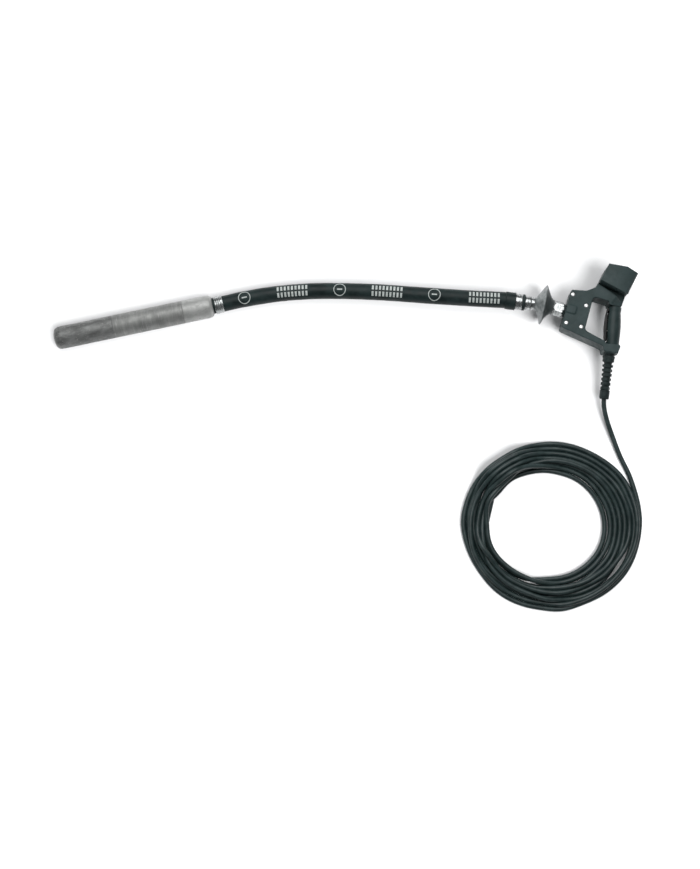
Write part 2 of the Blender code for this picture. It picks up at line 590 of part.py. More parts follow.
def hand_guard(frame):
    """The thick block beyond the arm that shields the hand and keeps the tool off the floor, and its bolt."""
    low, high = -PIVOT.z, 49.5
    near = [(117.0, 84.5), (191.4, 77.4)]
    top = [(118.6, 93.0, high), (126.7, 133.7, high), (172.6, 138.7, high), (198.0, 130.6, high)]
    base = [(x, y, z) for x, y in near for z in (-HALF_THICKNESS, HALF_THICKNESS)]
    base += [(118.6, 93.0, low), (126.7, 133.7, low), (172.6, 138.7, low), (202.7, 131.1, low), (193.6, 86.5, low)]
    base += [*top, (202.7, 131.1, high - 7), (193.6, 86.5, high - 7)]
    brow = [(x, y, HALF_THICKNESS + GAP) for x, y in (*near, (119, 100), (196, 100))]
    brow += [*top[:1], (198.0, 130.6, high), (116.4, 89.0, high), (184.0, 73.6, high), (191.6, 73.0, high - 7)]
    guard = add_mesh("hand_guard", hull(base), frame, "handle_plastic")
    boolean(guard, "UNION", add_mesh("guard_brow", hull(brow), frame, "steel"))
    for label, start, end in (("left", 128, 144), ("right", 162, 186)):
        pocket = block((start, 60, -24), (end, 129, 24))
        boolean(guard, "DIFFERENCE", add_mesh(f"guard_{label}_pocket", pocket, frame, "steel"))
    thread = lathe(rod_section(60, 108, 4.3), COARSE)
    bolt = lathe([(56, 0), (56, 7), (62.2, 7), (62.2, 4.0), (106, 4.0), (106, 0)], COARSE)
    for bm in (thread, bolt):
        bmesh.ops.rotate(bm, verts=bm.verts, matrix=Matrix.Rotation(math.radians(90), 3, "Z"))
        bmesh.ops.translate(bm, verts=bm.verts, vec=(153, 0, 0))
    boolean(guard, "DIFFERENCE", add_mesh("guard_thread", thread, frame, "steel"))
    add_mesh("guard_bolt", bolt, frame, "zinc")


def grip(grip_frame):
    """The grip's steel core, its rubber sleeve with a slot for the lever, and the switch inside."""
    add_mesh("grip_core", lathe(ring_section(-9.9, 100.8, 12.0, 10.2), MEDIUM), grip_frame, "steel")
    core_hole = lathe(rod_section(-14, -9, 2.6), COARSE)
    plunger_x = LEVER_PIVOT[0] + LEVER_TRAVEL
    sleeve_section = [(0.4, 12.3), (0.4, 18.0), (12, 18.0), (15, 17.0), (30, 18.4), (50, 19.0), (68, 18.6), (86, 17.4),
                      (GRIP_LENGTH - 0.4, 16.8), (GRIP_LENGTH - 0.4, 12.3)]
    sleeve = add_mesh("grip_sleeve", lathe(sleeve_section, MEDIUM), grip_frame, "handle_plastic")
    slot = add_mesh("lever_slot", block((3, -26, -6.6), (90, -10, 6.6)), grip_frame, "steel")
    pin_hole = add_mesh("sleeve_pin_hole", upright_rod(*LEVER_PIVOT, 1.3, 26), grip_frame, "steel")
    boolean(sleeve, "DIFFERENCE", slot, pin_hole)
    bmesh.ops.rotate(core_hole, verts=core_hole.verts, matrix=Matrix.Rotation(math.radians(90), 3, "Z"))
    bmesh.ops.translate(core_hole, verts=core_hole.verts, vec=(plunger_x, 0, 0))
    boolean(bpy.data.objects["grip_core"], "DIFFERENCE", add_mesh("core_hole", core_hole, grip_frame, "steel"))
    switch = add_mesh("switch_block", block((45, -6.5, -6), (76, 6, 6)), grip_frame, "inner_plastic")
    switch_hole = lathe(rod_section(-8, 1.5, 2.4), COARSE)
    bmesh.ops.rotate(switch_hole, verts=switch_hole.verts, matrix=Matrix.Rotation(math.radians(90), 3, "Z"))
    bmesh.ops.translate(switch_hole, verts=switch_hole.verts, vec=(plunger_x, 0, 0))
    boolean(switch, "DIFFERENCE", add_mesh("switch_hole", switch_hole, grip_frame, "steel"))


def upright_rod(x, y, radius, length):
    """A rod along Z through (x, y)."""
    bm = lathe(rod_section(-length / 2, length / 2, radius), COARSE)
    bmesh.ops.rotate(bm, verts=bm.verts, matrix=Matrix.Rotation(math.radians(-90), 3, "Y"))
    bmesh.ops.translate(bm, verts=bm.verts, vec=(x, y, 0))
    return bm


def lever_parts(grip_frame, lever_frame):
    """The long lever on the grip's finger side, its pin and spring, and the plunger that it pushes."""
    shape = rounded_outline([(-3.6, 2.2, 1), (-3.6, -2.4, 1), (14, -5.4, 4), (42, -7.8, 6), (70, -6.2, 5),
                             (79.5, -3.6, 1), (79.5, -1.6, 0.5), (5, -1.6, 1), (3.4, 2.2, 1)])
    lever = add_mesh("deadman_lever", prism(shape, -6.2, 6.2), lever_frame, "black_rubber")
    boolean(lever, "DIFFERENCE", add_mesh("lever_pin_hole", upright_rod(0, 0, 1.35, 20), lever_frame, "steel"))
    add_mesh("lever_pin", upright_rod(*LEVER_PIVOT, 1.1, 19), grip_frame, "bright_steel")
    plunger = lathe(rod_section(-16.1, -2.5, 1.9), COARSE)
    bmesh.ops.rotate(plunger, verts=plunger.verts, matrix=Matrix.Rotation(math.radians(90), 3, "Z"))
    add_mesh("switch_plunger", plunger, grip_frame, "inner_plastic", (LEVER_PIVOT[0] + LEVER_TRAVEL, 0, 0))
    add_mesh("lever_spring", helix_spring(3, 2.4, 0.45, 3.8), grip_frame, "bright_steel", (34, -16.1, 0))


def handle_inside(frame):
    """The terminal block, and the stripped lead that reaches it."""
    add_mesh("terminal_block", block((67, -18, -10), (101, 9, 10)), frame, "inner_plastic")
    round_cable("inner_lead", smooth_path(inner_lead_route(), 20), INNER_LEAD_RADIUS, "black_rubber")


def strain_relief(frame):
    """The ribbed rubber sleeve that the lead leaves the handle through, as one turned piece, with its gland ring."""
    bore, ribs, first, pitch = LEAD_RADIUS + 0.3, 6, 22.0, 11.2
    section = [(-10, bore), (-10, 12.1), (1, 12.1), (5.2, 12.1), (5.2, 15), (20, 14.4), (first, 9.6)]
    for i in range(ribs):
        start, radius = first + pitch * i, 13.6 - 0.28 * i
        section += [(start + 4.0, 9.6), (start + 4.8, radius), (start + 10.0, radius - 0.2), (start + 10.8, 9.5)]
    section += [(91, 12.2), (RELIEF_LENGTH, 11.6), (RELIEF_LENGTH, bore)]
    add_mesh("strain_relief", lathe(section, MEDIUM), frame, "black_rubber")


# ---- lead ----------------------------------------------------------------------------------------------------
def relief_place(x):
    """A point on the strain relief's axis, x mm from where it leaves the handle."""
    yaw = math.radians(HANDLE_YAW + RELIEF_YAW)
    pitch = math.radians(RELIEF_PITCH)
    start = handle_place(*RELIEF_START)
    return start + Vector((math.cos(yaw) * math.cos(pitch), math.sin(yaw) * math.cos(pitch), -math.sin(pitch))) * x


def lead_route():
    """The lead from the strain relief down to the floor and along it to the coil's outermost turn."""
    falling = [(150.2, -256.0, 23.3), (157.2, -286.3, 18.0), (170.9, -325.7, 12.0), (189.4, -375.1, 7.4)]
    lying = [(212.2, -425.0, LEAD_Z), (228.4, -480.0, LEAD_Z), (234.2, -520.0, LEAD_Z), (234.6, -556.0, LEAD_Z)]
    points = [Vector((PIVOT.x + x, PIVOT.y + y, z)) for x, y, z in falling + lying]
    return [relief_place(RELIEF_LENGTH + GAP), *points]


def coil_ring():
    """The closed solid of the lead's coil: an oval ring with rounded shoulders."""
    section = [(COIL_INNER, 0.2), (COIL_OUTER - 4, 0.2), (COIL_OUTER, 6), (COIL_OUTER - 2, 20),
               (COIL_OUTER - 20, COIL_HEIGHT), (COIL_INNER + 22, COIL_HEIGHT), (COIL_INNER, 18)]
    bm = bmesh.new()
    sides = 44
    rings = []
    for radius, z in section:
        angles = [math.tau * i / sides for i in range(sides)]
        rings.append([bm.verts.new((radius * math.cos(a), radius * COIL_SQUASH * math.sin(a), z)) for a in angles])
    for one, two in zip(rings, rings[1:] + rings[:1]):
        bridge(bm, one, two)
    return bm


def lead():
    """The lead's free stretch, and its coil with a groove where the lead and the connector lie in it."""
    path = smooth_path(lead_route(), 24)
    round_cable("lead", path, LEAD_RADIUS, "lead_rubber", resolution=3)
    coil = add_mesh("lead_coil", coil_ring(), None, "lead_rubber", COIL_CENTRE)
    ahead = path[-1] + (path[-1] - path[-2]) / np.linalg.norm(path[-1] - path[-2]) * GAP
    groove = np.vstack([path[:-1], ahead])
    boolean(coil, "DIFFERENCE", swept_cutter("lead_groove", groove, LEAD_RADIUS + 0.5))


def connector():
    """The lead's round connector, on the floor under the coil's turns: body, locking ring and contact insert."""
    angle = math.radians(CONNECTOR_ANGLE)
    short = CONNECTOR_TRACK * COIL_SQUASH
    place = (COIL_CENTRE.x + CONNECTOR_TRACK * math.cos(angle), COIL_CENTRE.y + short * math.sin(angle),
             CONNECTOR_RADIUS + 0.2)
    yaw = math.degrees(math.atan2(-short * math.cos(angle), CONNECTOR_TRACK * math.sin(angle)))
    frame = add_frame("connector_frame", place, yaw)
    body = [(-39, 0), (-39, 8.5), (-30, 10), (-24, 14.2), (6, 14.2), (6, 13), (37, 13), (37, 11), (14, 11), (14, 0)]
    add_mesh("connector_body", lathe(body, MEDIUM), frame, "black_rubber")
    add_mesh("connector_ring", lathe(ring_section(8, 32, CONNECTOR_RADIUS, 13.4), MEDIUM), frame, "bright_steel")
    insert = add_mesh("connector_insert", lathe(rod_section(14.4, 22, 10.6), MEDIUM), frame, "inner_plastic")
    for i in range(3):
        a = math.tau * i / 3
        pin = add_mesh(f"contact_pin_{i + 1}", lathe(rod_section(18, 34, 1.8), 10), frame, "brass",
                       (0, 5.6 * math.cos(a), 5.6 * math.sin(a)))
        boolean(insert, "UNION", pin)
    space = [(-39.5, 0), (-39.5, 16.6), (39, 16.6), (39, 0)]
    round_space = add_mesh("connector_space", lathe(space, MEDIUM), frame, "steel")
    below = add_mesh("connector_below", block((-39.5, -16.6, -30), (39, 16.6, 0)), frame, "steel")
    boolean(bpy.data.objects["lead_coil"], "DIFFERENCE", round_space, below)


def build():
    for obj in list(bpy.data.objects):
        bpy.data.objects.remove(obj, do_unlink=True)
    head_frame = add_frame("head_frame", head_place(0), HEAD_YAW)
    rotor_frame = add_frame("rotor_frame", (0, 0, 0), 0, parent=head_frame)
    head_casing(head_frame)
    head_motor(head_frame)
    rotor(rotor_frame)
    for label, place in (("front", 14), ("middle", 122), ("rear", 318)):
        cage_frame = add_frame(f"{label}_cage_frame", (0, 0, 0), 0, parent=head_frame)
        ball_bearing(label, place, head_frame, rotor_frame, cage_frame)
    hose(head_frame)
    coupling(add_frame("coupling_frame", PIVOT, COUPLING_YAW))
    bellows()
    handle_frame = add_frame("handle_frame", PIVOT, HANDLE_YAW)
    grip_frame = add_frame("grip_frame", (*GRIP_TOP, 0), GRIP_YAW, parent=handle_frame)
    relief_frame = add_frame("relief_frame", (*RELIEF_START, 0), RELIEF_YAW, RELIEF_PITCH, handle_frame)
    lever_frame = add_frame("lever_frame", (*LEVER_PIVOT, 0), 0, parent=grip_frame)
    handle_joint(handle_frame)
    handle_shells(handle_frame, grip_frame, relief_frame)
    hand_guard(handle_frame)
    grip(grip_frame)
    lever_parts(grip_frame, lever_frame)
    handle_inside(handle_frame)
    strain_relief(relief_frame)
    lead()
    connector()


build()
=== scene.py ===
"""Concrete vibrator: the visible surfaces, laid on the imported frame.

Lengths are in mm in the local frames below, each a matrix whose +X is the axis of its turned pieces, and become
metres when a piece is made. Coordinates in a material are the row frame's, in metres.
"""

import json
import math

import bmesh
import bpy
import numpy as np
from mathutils import Matrix, Vector
from mathutils.kdtree import KDTree


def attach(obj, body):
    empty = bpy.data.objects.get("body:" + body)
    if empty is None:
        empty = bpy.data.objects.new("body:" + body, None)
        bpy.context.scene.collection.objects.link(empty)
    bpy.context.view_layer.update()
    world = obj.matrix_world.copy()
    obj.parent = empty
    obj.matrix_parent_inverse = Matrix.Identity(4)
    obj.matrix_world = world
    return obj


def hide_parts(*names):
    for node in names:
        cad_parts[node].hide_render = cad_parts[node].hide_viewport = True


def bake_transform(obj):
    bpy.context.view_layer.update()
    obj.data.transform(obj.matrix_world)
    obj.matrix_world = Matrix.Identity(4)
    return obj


MM = 0.001
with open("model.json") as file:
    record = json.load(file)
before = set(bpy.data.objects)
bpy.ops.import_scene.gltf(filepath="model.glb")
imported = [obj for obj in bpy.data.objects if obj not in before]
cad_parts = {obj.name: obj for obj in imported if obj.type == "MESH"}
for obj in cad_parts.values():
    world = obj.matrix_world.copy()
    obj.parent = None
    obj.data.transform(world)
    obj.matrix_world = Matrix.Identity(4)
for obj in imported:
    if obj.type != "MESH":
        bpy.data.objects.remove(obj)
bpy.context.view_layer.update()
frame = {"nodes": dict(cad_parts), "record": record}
scene = bpy.context.scene


# ---- frames --------------------------------------------------------------------------------------------------
def placed(origin, yaw, pitch=0.0):
    """The matrix of a frame at origin whose +X has this yaw and, downwards, this pitch in degrees."""
    turn = Matrix.Rotation(math.radians(yaw), 4, "Z") @ Matrix.Rotation(math.radians(pitch), 4, "Y")
    return Matrix.Translation(Vector(origin)) @ turn


def at(place, x, y=0.0):
    """The point in the world that is at (x, y) in the middle plane of a frame."""
    return place @ Vector((x, y, 0))


PIVOT = Vector((496.5, 71.9, 50.5))      # centre of the flexible coupling's ball
HEAD_YAW, HOSE_END_YAW, HANDLE_YAW = 12.1, -6.8, -16.1
RIM_YAW = (HOSE_END_YAW + HANDLE_YAW) / 2
HEAD_LENGTH, HEAD_RADIUS = 403.0, 28.5
HEAD_BACK = (PIVOT.x - 827.0, PIVOT.y + 2.1, HEAD_RADIUS)
HEAD = placed(HEAD_BACK, HEAD_YAW) @ Matrix.Translation((-HEAD_LENGTH, 0, 0))      # from the nose's tip
HOSE_END = placed(PIVOT, HOSE_END_YAW)   # its pieces have negative x
HANDLE = placed(PIVOT, HANDLE_YAW)
GRIP = HANDLE @ placed((171.5, 42.0, 0), -78.5)              # from the grip's guard end
RELIEF = HANDLE @ placed((189.6, -76.0, 0), -80.0, 12.0)     # the strain relief, from the casing
RELIEF_LENGTH = 112.0
LEVER_PIVOT = (8.0, -14.8, 0.0)          # in GRIP
SCREW_PLACES = ((62.3, 39.1), (101.1, 20.7), (64.7, -34.8), (102.8, -34.6))        # in HANDLE
HOSE_RADIUS = 20.0
LEAD_RADIUS = 6.0
COIL_CENTRE = Vector((PIVOT.x + 14.0, PIVOT.y - 548.0, 0.0))
WORLD = Matrix.Identity(4)
FLOOR_REACH = 40.0                       # m each way, so that no low view sees its edge close by


# ---- camera and light ----------------------------------------------------------------------------------------
def camera():
    data = bpy.data.cameras.new("camera")
    data.sensor_fit = "HORIZONTAL"
    data.sensor_width = 36.0
    data.lens = 78.94
    obj = bpy.data.objects.new("camera", data)
    obj.location = (0.0138, -0.7820, 3.8)
    obj.rotation_euler = (math.radians(8.0), 0, 0)
    scene.collection.objects.link(obj)
    scene.camera = obj


def lamp(name, kind, energy, location, target, **settings):
    data = bpy.data.lights.new(name, kind)
    data.energy = energy
    for key, value in settings.items():
        setattr(data, key, value)
    obj = bpy.data.objects.new(name, data)
    obj.location = location
    obj.rotation_euler = (Vector(target) - Vector(location)).to_track_quat("-Z", "Y").to_euler()
    scene.collection.objects.link(obj)
    return obj


def studio():
    """A pale floor, a dim sky, a broad soft light overhead and one from low down that only shades the floor."""
    world = bpy.data.worlds.new("studio")
    world.use_nodes = True
    sky = world.node_tree.nodes["Background"]
    sky.inputs["Color"].default_value = (0.93, 0.98, 1.0, 1.0)
    sky.inputs["Strength"].default_value = 0.16
    scene.world = world
    scene.view_settings.view_transform = "Standard"
    mesh = bpy.data.meshes.new("floor")
    corners = [(x * FLOOR_REACH, y * FLOOR_REACH, 0) for x, y in ((-1, -1), (1, -1), (1, 1), (-1, 1))]
    mesh.from_pydata(corners, [], [(0, 1, 2, 3)])
    floor = bpy.data.objects.new("floor", mesh)
    scene.collection.objects.link(floor)
    paper = Surface("floor_paper", (0.62, 0.62, 0.625), 0.9, Specular_IOR_Level=0.2)
    paper.vary((0.615, 0.615, 0.62), (0.625, 0.625, 0.63), scale=3.0)
    mesh.materials.append(paper.material)
    lamp("overhead", "AREA", 118.0, (0.0, 1.3, 3.2), (0.05, 0.0, 0), size=3.0)
    low = lamp("low", "SUN", 5.2, (1.35, -1.5, 2.9), (0, 0, 0), angle=math.radians(38))
    lit = bpy.data.collections.new("lit_by_low")
    lit.objects.link(floor)
    low.light_linking.receiver_collection = lit


# ---- materials -----------------------------------------------------------------------------------------------
class Surface:
    """A Principled material built up from layers of noise. Scales are per metre, bump heights in mm."""

    def __init__(self, name, colour, roughness, metallic=0.0, **fixed):
        self.material = bpy.data.materials.new(name)
        self.material.use_nodes = True
        self.material.diffuse_color = (*colour, 1.0)
        self.tree = self.material.node_tree
        self.shader = self.tree.nodes["Principled BSDF"]
        self.shader.inputs["Base Color"].default_value = (*colour, 1.0)
        self.shader.inputs["Roughness"].default_value = roughness
        self.shader.inputs["Metallic"].default_value = metallic
        for key, value in fixed.items():
            self.shader.inputs[key.replace("_", " ")].default_value = value
        self.colour = None
        self.normal = None

    def node(self, kind, inputs=(), **settings):
        made = self.tree.nodes.new(kind)
        for key, value in settings.items():
            setattr(made, key, value)
        for key, value in dict(inputs).items():
            if isinstance(value, bpy.types.NodeSocket):
                self.tree.links.new(value, made.inputs[key])
            else:
                made.inputs[key].default_value = value
        return made

    def place(self, yaw=0.0, stretch=(1.0, 1.0, 1.0)):
        """Coordinates turned by a yaw, then stretched along that frame's axes."""
        start = self.node("ShaderNodeTexCoord").outputs["Object"]
        turned = self.node("ShaderNodeMapping", {"Vector": start, "Rotation": (0, 0, math.radians(-yaw))})
        return self.node("ShaderNodeMapping", {"Vector": turned.outputs[0], "Scale": stretch}).outputs[0]

    def noise(self, scale, detail=5.0, rough=0.6, yaw=0.0, stretch=(1.0, 1.0, 1.0), distortion=0.0):
        """Noise from 0 to 1."""
        inputs = {"Vector": self.place(yaw, stretch), "Scale": scale, "Detail": detail, "Roughness": rough,
                  "Distortion": distortion}
        return self.node("ShaderNodeTexNoise", inputs).outputs["Fac"]

    def ramp(self, value, low, high, to_low=0.0, to_high=1.0):
        inputs = {"Value": value, "From Min": low, "From Max": high, "To Min": to_low, "To Max": to_high}
        return self.node("ShaderNodeMapRange", inputs, interpolation_type="SMOOTHSTEP").outputs[0]

    def paint(self, mask, colour):
        """Lays a colour over what is there, where mask is 1."""
        below = self.colour or self.shader.inputs["Base Color"].default_value[:]
        mix = self.node("ShaderNodeMix", data_type="RGBA")
        self.tree.links.new(mask, mix.inputs[0])
        if isinstance(below, bpy.types.NodeSocket):
            self.tree.links.new(below, mix.inputs[6])
        else:
            mix.inputs[6].default_value = below
        mix.inputs[7].default_value = (*colour, 1.0)
        self.colour = mix.outputs[2]
        self.tree.links.new(self.colour, self.shader.inputs["Base Color"])
        return self

    def vary(self, dark, light, scale, low=0.35, high=0.65, **noise):
        """The base colour wanders between two colours."""
        self.shader.inputs["Base Color"].default_value = (*dark, 1.0)
        return self.paint(self.ramp(self.noise(scale, **noise), low, high), light)

    def gloss(self, low, high, scale, **noise):
        """The roughness wanders between two values."""
        value = self.ramp(self.noise(scale, **noise), 0.3, 0.7, low, high)
        self.tree.links.new(value, self.shader.inputs["Roughness"])
        return self

    def bump(self, height, scale=None, field=None, strength=1.0, **noise):
        """Adds relief of this height in mm, from noise or from a given field."""
        field = field or self.noise(scale, **noise)
        inputs = {"Height": field, "Distance": height * MM, "Strength": strength}
        if self.normal:
            inputs["Normal"] = self.normal
        self.normal = self.node("ShaderNodeBump", inputs).outputs[0]
        self.tree.links.new(self.normal, self.shader.inputs["Normal"])
        return self


def head_steels():
    """The head's three tubes: a rough stained nose, a turned tube, a pale blasted end."""
    nose = Surface("nose_steel", (0.20, 0.20, 0.20), 0.55, 0.35)
    nose.vary((0.11, 0.113, 0.110), (0.235, 0.24, 0.235), 38.0, 0.3, 0.7, detail=8.0, rough=0.7, yaw=HEAD_YAW,
              stretch=(0.6, 1.6, 1.6))
    nose.paint(nose.ramp(nose.noise(160.0, 6.0, 0.7), 0.58, 0.72), (0.40, 0.39, 0.37))
    nose.paint(nose.ramp(nose.noise(90.0, 8.0, 0.8, distortion=1.0), 0.62, 0.75), (0.07, 0.07, 0.065))
    nose.gloss(0.38, 0.68, 120.0).bump(0.35, 260.0, detail=8.0, rough=0.75).bump(0.5, 60.0, detail=3.0)
    tube = Surface("tube_steel", (0.28, 0.28, 0.275), 0.5, 0.4)
    tube.vary((0.19, 0.193, 0.188), (0.31, 0.315, 0.305), 22.0, 0.3, 0.75, detail=8.0, rough=0.65, yaw=HEAD_YAW,
              stretch=(2.2, 0.7, 0.7))
    turned = tube.noise(300.0, 4.0, 0.6, HEAD_YAW, (1.0, 0.08, 0.08))
    tube.paint(tube.ramp(turned, 0.55, 0.75), (0.37, 0.375, 0.365))
    tube.paint(tube.ramp(tube.noise(55.0, 8.0, 0.75), 0.60, 0.78), (0.12, 0.122, 0.12))
    tube.gloss(0.45, 0.62, 90.0).bump(0.12, 420.0, detail=5.0, yaw=HEAD_YAW, stretch=(1.0, 0.06, 0.06))
    tube.bump(0.1, 300.0, detail=6.0)
    end = Surface("end_steel", (0.42, 0.42, 0.41), 0.55, 0.35)
    end.vary((0.33, 0.335, 0.325), (0.46, 0.465, 0.455), 45.0, 0.3, 0.7, detail=8.0, rough=0.6)
    scratches = end.noise(120.0, 3.0, 0.6, HEAD_YAW + 24.0, (0.25, 3.0, 1.0), distortion=0.6)
    end.paint(end.ramp(scratches, 0.64, 0.70), (0.20, 0.20, 0.19))
    end.gloss(0.42, 0.62, 140.0).bump(0.1, 900.0, detail=3.0).bump(0.15, 110.0, detail=4.0)
    return {"nose_steel": nose, "tube_steel": tube, "end_steel": end}


def bright_metals():
    bright = Surface("bright_steel", (0.50, 0.51, 0.51), 0.25, 0.9)
    bright.vary((0.20, 0.21, 0.21), (0.46, 0.475, 0.475), 90.0, detail=6.0, stretch=(3.0, 1.0, 1.0))
    bright.gloss(0.14, 0.34, 160.0, stretch=(4.0, 1.0, 1.0)).bump(0.03, 900.0, stretch=(6.0, 1.0, 1.0))
    plain = Surface("plain_steel", (0.45, 0.46, 0.46), 0.35, 0.9)
    plain.vary((0.36, 0.37, 0.37), (0.52, 0.53, 0.53), 80.0, detail=6.0).gloss(0.25, 0.45, 120.0)
    plain.bump(0.05, 600.0)
    core = Surface("core_steel", (0.3, 0.3, 0.32), 0.4, 0.8)
    core.vary((0.22, 0.22, 0.24), (0.36, 0.36, 0.38), 70.0)
    plates = core.node("ShaderNodeTexWave", {"Vector": core.place(HEAD_YAW), "Scale": 160.0},
                       bands_direction="X")
    core.bump(0.12, field=plates.outputs["Fac"])
    copper = Surface("copper", (0.6, 0.28, 0.12), 0.35, 1.0)
    copper.vary((0.48, 0.20, 0.08), (0.70, 0.34, 0.16), 120.0)
    wires = copper.node("ShaderNodeTexWave", {"Vector": copper.place(HEAD_YAW), "Scale": 220.0,
                                              "Distortion": 2.0}, bands_direction="Y")
    copper.bump(0.3, field=wires.outputs["Fac"])
    zinc = Surface("zinc", (0.84, 0.85, 0.85), 0.3, 0.55)
    zinc.vary((0.78, 0.79, 0.79), (0.92, 0.92, 0.92), 200.0).gloss(0.2, 0.4, 200.0).bump(0.03, 900.0)
    brass = Surface("brass", (0.72, 0.55, 0.25), 0.3, 1.0)
    brass.vary((0.62, 0.46, 0.19), (0.78, 0.61, 0.30), 120.0).gloss(0.22, 0.4, 200.0).bump(0.02, 800.0)
    return {"bright_steel": bright, "plain_steel": plain, "core_steel": core, "copper": copper,
            "zinc": zinc, "brass": brass}


def rubbers():
    hose = Surface("hose_rubber", (0.016, 0.021, 0.021), 0.5, Specular_IOR_Level=0.2)
    hose.vary((0.007, 0.0135, 0.0135), (0.017, 0.030, 0.030), 30.0, detail=8.0, rough=0.7)
    hose.paint(hose.ramp(hose.noise(190.0, 6.0, 0.8), 0.60, 0.80), (0.034, 0.052, 0.052))
    hose.gloss(0.40, 0.60, 60.0).bump(0.25, 520.0, detail=3.0)
    hose.bump(0.35, 110.0, detail=3.0, stretch=(0.5, 1.4, 1.4))
    black = Surface("black_rubber", (0.013, 0.016, 0.016), 0.55, Specular_IOR_Level=0.18)
    black.vary((0.014, 0.022, 0.022), (0.030, 0.042, 0.042), 70.0, detail=6.0).gloss(0.45, 0.65, 90.0)
    black.bump(0.08, 700.0)
    bellows = Surface("bellows_rubber", (0.20, 0.22, 0.22), 0.4, 0.25)
    bellows.vary((0.13, 0.145, 0.145), (0.30, 0.32, 0.32), 55.0, 0.3, 0.7, detail=6.0, yaw=HANDLE_YAW,
                 stretch=(0.4, 2.0, 2.0))
    bellows.paint(bellows.ramp(bellows.noise(40.0, 7.0, 0.75), 0.55, 0.75), (0.09, 0.10, 0.10))
    # painted shade: the cone on the handle side of the rim is painted darker than the cone on the hose side, as
    # the two cones face the light differently
    rim = bellows.node("ShaderNodeSeparateXYZ", {"Vector": bellows.place(RIM_YAW)}).outputs[0]
    rim_x = (Matrix.Rotation(math.radians(-RIM_YAW), 3, "Z") @ PIVOT).x * MM
    bellows.paint(bellows.ramp(rim, rim_x - 0.0005, rim_x + 0.0015), (0.085, 0.098, 0.098))
    bellows.paint(bellows.ramp(bellows.noise(70.0, 6.0, 0.7), 0.60, 0.78), (0.24, 0.26, 0.26))
    bellows.gloss(0.3, 0.5, 60.0).bump(0.25, 160.0, detail=4.0, yaw=HANDLE_YAW, stretch=(0.4, 1.6, 1.6))
    lead = Surface("lead_rubber", (0.016, 0.021, 0.020), 0.42, Specular_IOR_Level=0.4)
    lead.vary((0.014, 0.027, 0.027), (0.032, 0.052, 0.052), 40.0, detail=8.0, rough=0.7)
    lead.paint(lead.ramp(lead.noise(75.0, 8.0, 0.8), 0.64, 0.80), (0.075, 0.088, 0.086))
    lead.gloss(0.34, 0.48, 50.0).bump(0.08, 600.0).bump(0.3, 90.0, detail=3.0)
    mark = Surface("mark_paint", (0.55, 0.60, 0.58), 0.6)
    mark.vary((0.38, 0.42, 0.41), (0.62, 0.66, 0.64), 160.0, detail=8.0, rough=0.8).gloss(0.5, 0.7, 90.0)
    return {"hose_rubber": hose, "black_rubber": black, "bellows_rubber": bellows, "lead_rubber": lead,
            "mark_paint": mark}


def plastics():
    handle = Surface("handle_plastic", (0.042, 0.056, 0.055), 0.5, Specular_IOR_Level=0.18)
    handle.vary((0.032, 0.050, 0.050), (0.044, 0.066, 0.067), 24.0, detail=6.0)
    handle.paint(handle.ramp(handle.noise(420.0, 5.0, 0.8), 0.62, 0.82), (0.075, 0.092, 0.090))
    handle.gloss(0.42, 0.58, 70.0).bump(0.09, 1500.0, detail=2.0).bump(0.05, 240.0)
    grip = Surface("grip_rubber", (0.030, 0.040, 0.039), 0.42, Specular_IOR_Level=0.18)
    grip.vary((0.022, 0.036, 0.036), (0.031, 0.048, 0.048), 30.0, detail=6.0).gloss(0.36, 0.5, 60.0)
    grip.bump(0.06, 1100.0, detail=2.0)
    lever = Surface("lever_plastic", (0.007, 0.008, 0.008), 0.4, Specular_IOR_Level=0.18)
    lever.vary((0.006, 0.007, 0.007), (0.011, 0.012, 0.012), 60.0).gloss(0.34, 0.5, 80.0).bump(0.04, 900.0)
    inner = Surface("inner_plastic", (0.6, 0.6, 0.56), 0.5)
    inner.vary((0.54, 0.54, 0.50), (0.64, 0.64, 0.60), 60.0).gloss(0.42, 0.58, 80.0).bump(0.04, 900.0)
    return {"handle_plastic": handle, "grip_rubber": grip, "lever_plastic": lever, "inner_plastic": inner}


SURFACES = {**head_steels(), **bright_metals(), **rubbers(), **plastics()}


# ---- making pieces -------------------------------------------------------------------------------------------
def make(name, bm, place, slot, body=None, nodes=(), angle=35.0, ride=True):
    """Turns a bmesh in mm in a local frame into a piece in metres, on a body and in the place of CAD nodes."""
    bmesh.ops.transform(bm, matrix=Matrix.Scale(MM, 4) @ place, verts=bm.verts)
    bmesh.ops.recalc_face_normals(bm, faces=bm.faces)
    mesh = bpy.data.meshes.new(name)
    bm.to_mesh(mesh)
    bm.free()
    obj = bpy.data.objects.new(name, mesh)
    scene.collection.objects.link(obj)
    return finish_piece(shade(obj, angle), slot, body, nodes, ride)


def tool(bm, place=HANDLE, slot="handle_plastic"):
    """A temporary solid that cuts another or is joined to it."""
    return make("tool", bm, place, slot)


def shade(obj, angle):
    obj.data.shade_smooth()
    obj.data.set_sharp_from_angle(angle=math.radians(angle))
    return obj


def finish_piece(obj, slot, body, nodes, ride=True):
    """Gives a piece its surface and its place in the frame. A tool has no body."""
    obj.data.materials.clear()
    obj.data.materials.append(SURFACES[slot].material)
    if body:
        if nodes:
            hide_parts(*nodes)
        if ride:
            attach(obj, body)
    return obj


def settle(obj, *modifiers):
    """Applies modifiers, each (kind, settings)."""
    for kind, settings in modifiers:
        made = obj.modifiers.new(kind, kind)
        for key, value in settings.items():
            setattr(made, key, value)
    bpy.context.view_layer.update()
    shape = obj.evaluated_get(bpy.context.evaluated_depsgraph_get())
    obj.data = bpy.data.meshes.new_from_object(shape)
    obj.modifiers.clear()
    return obj


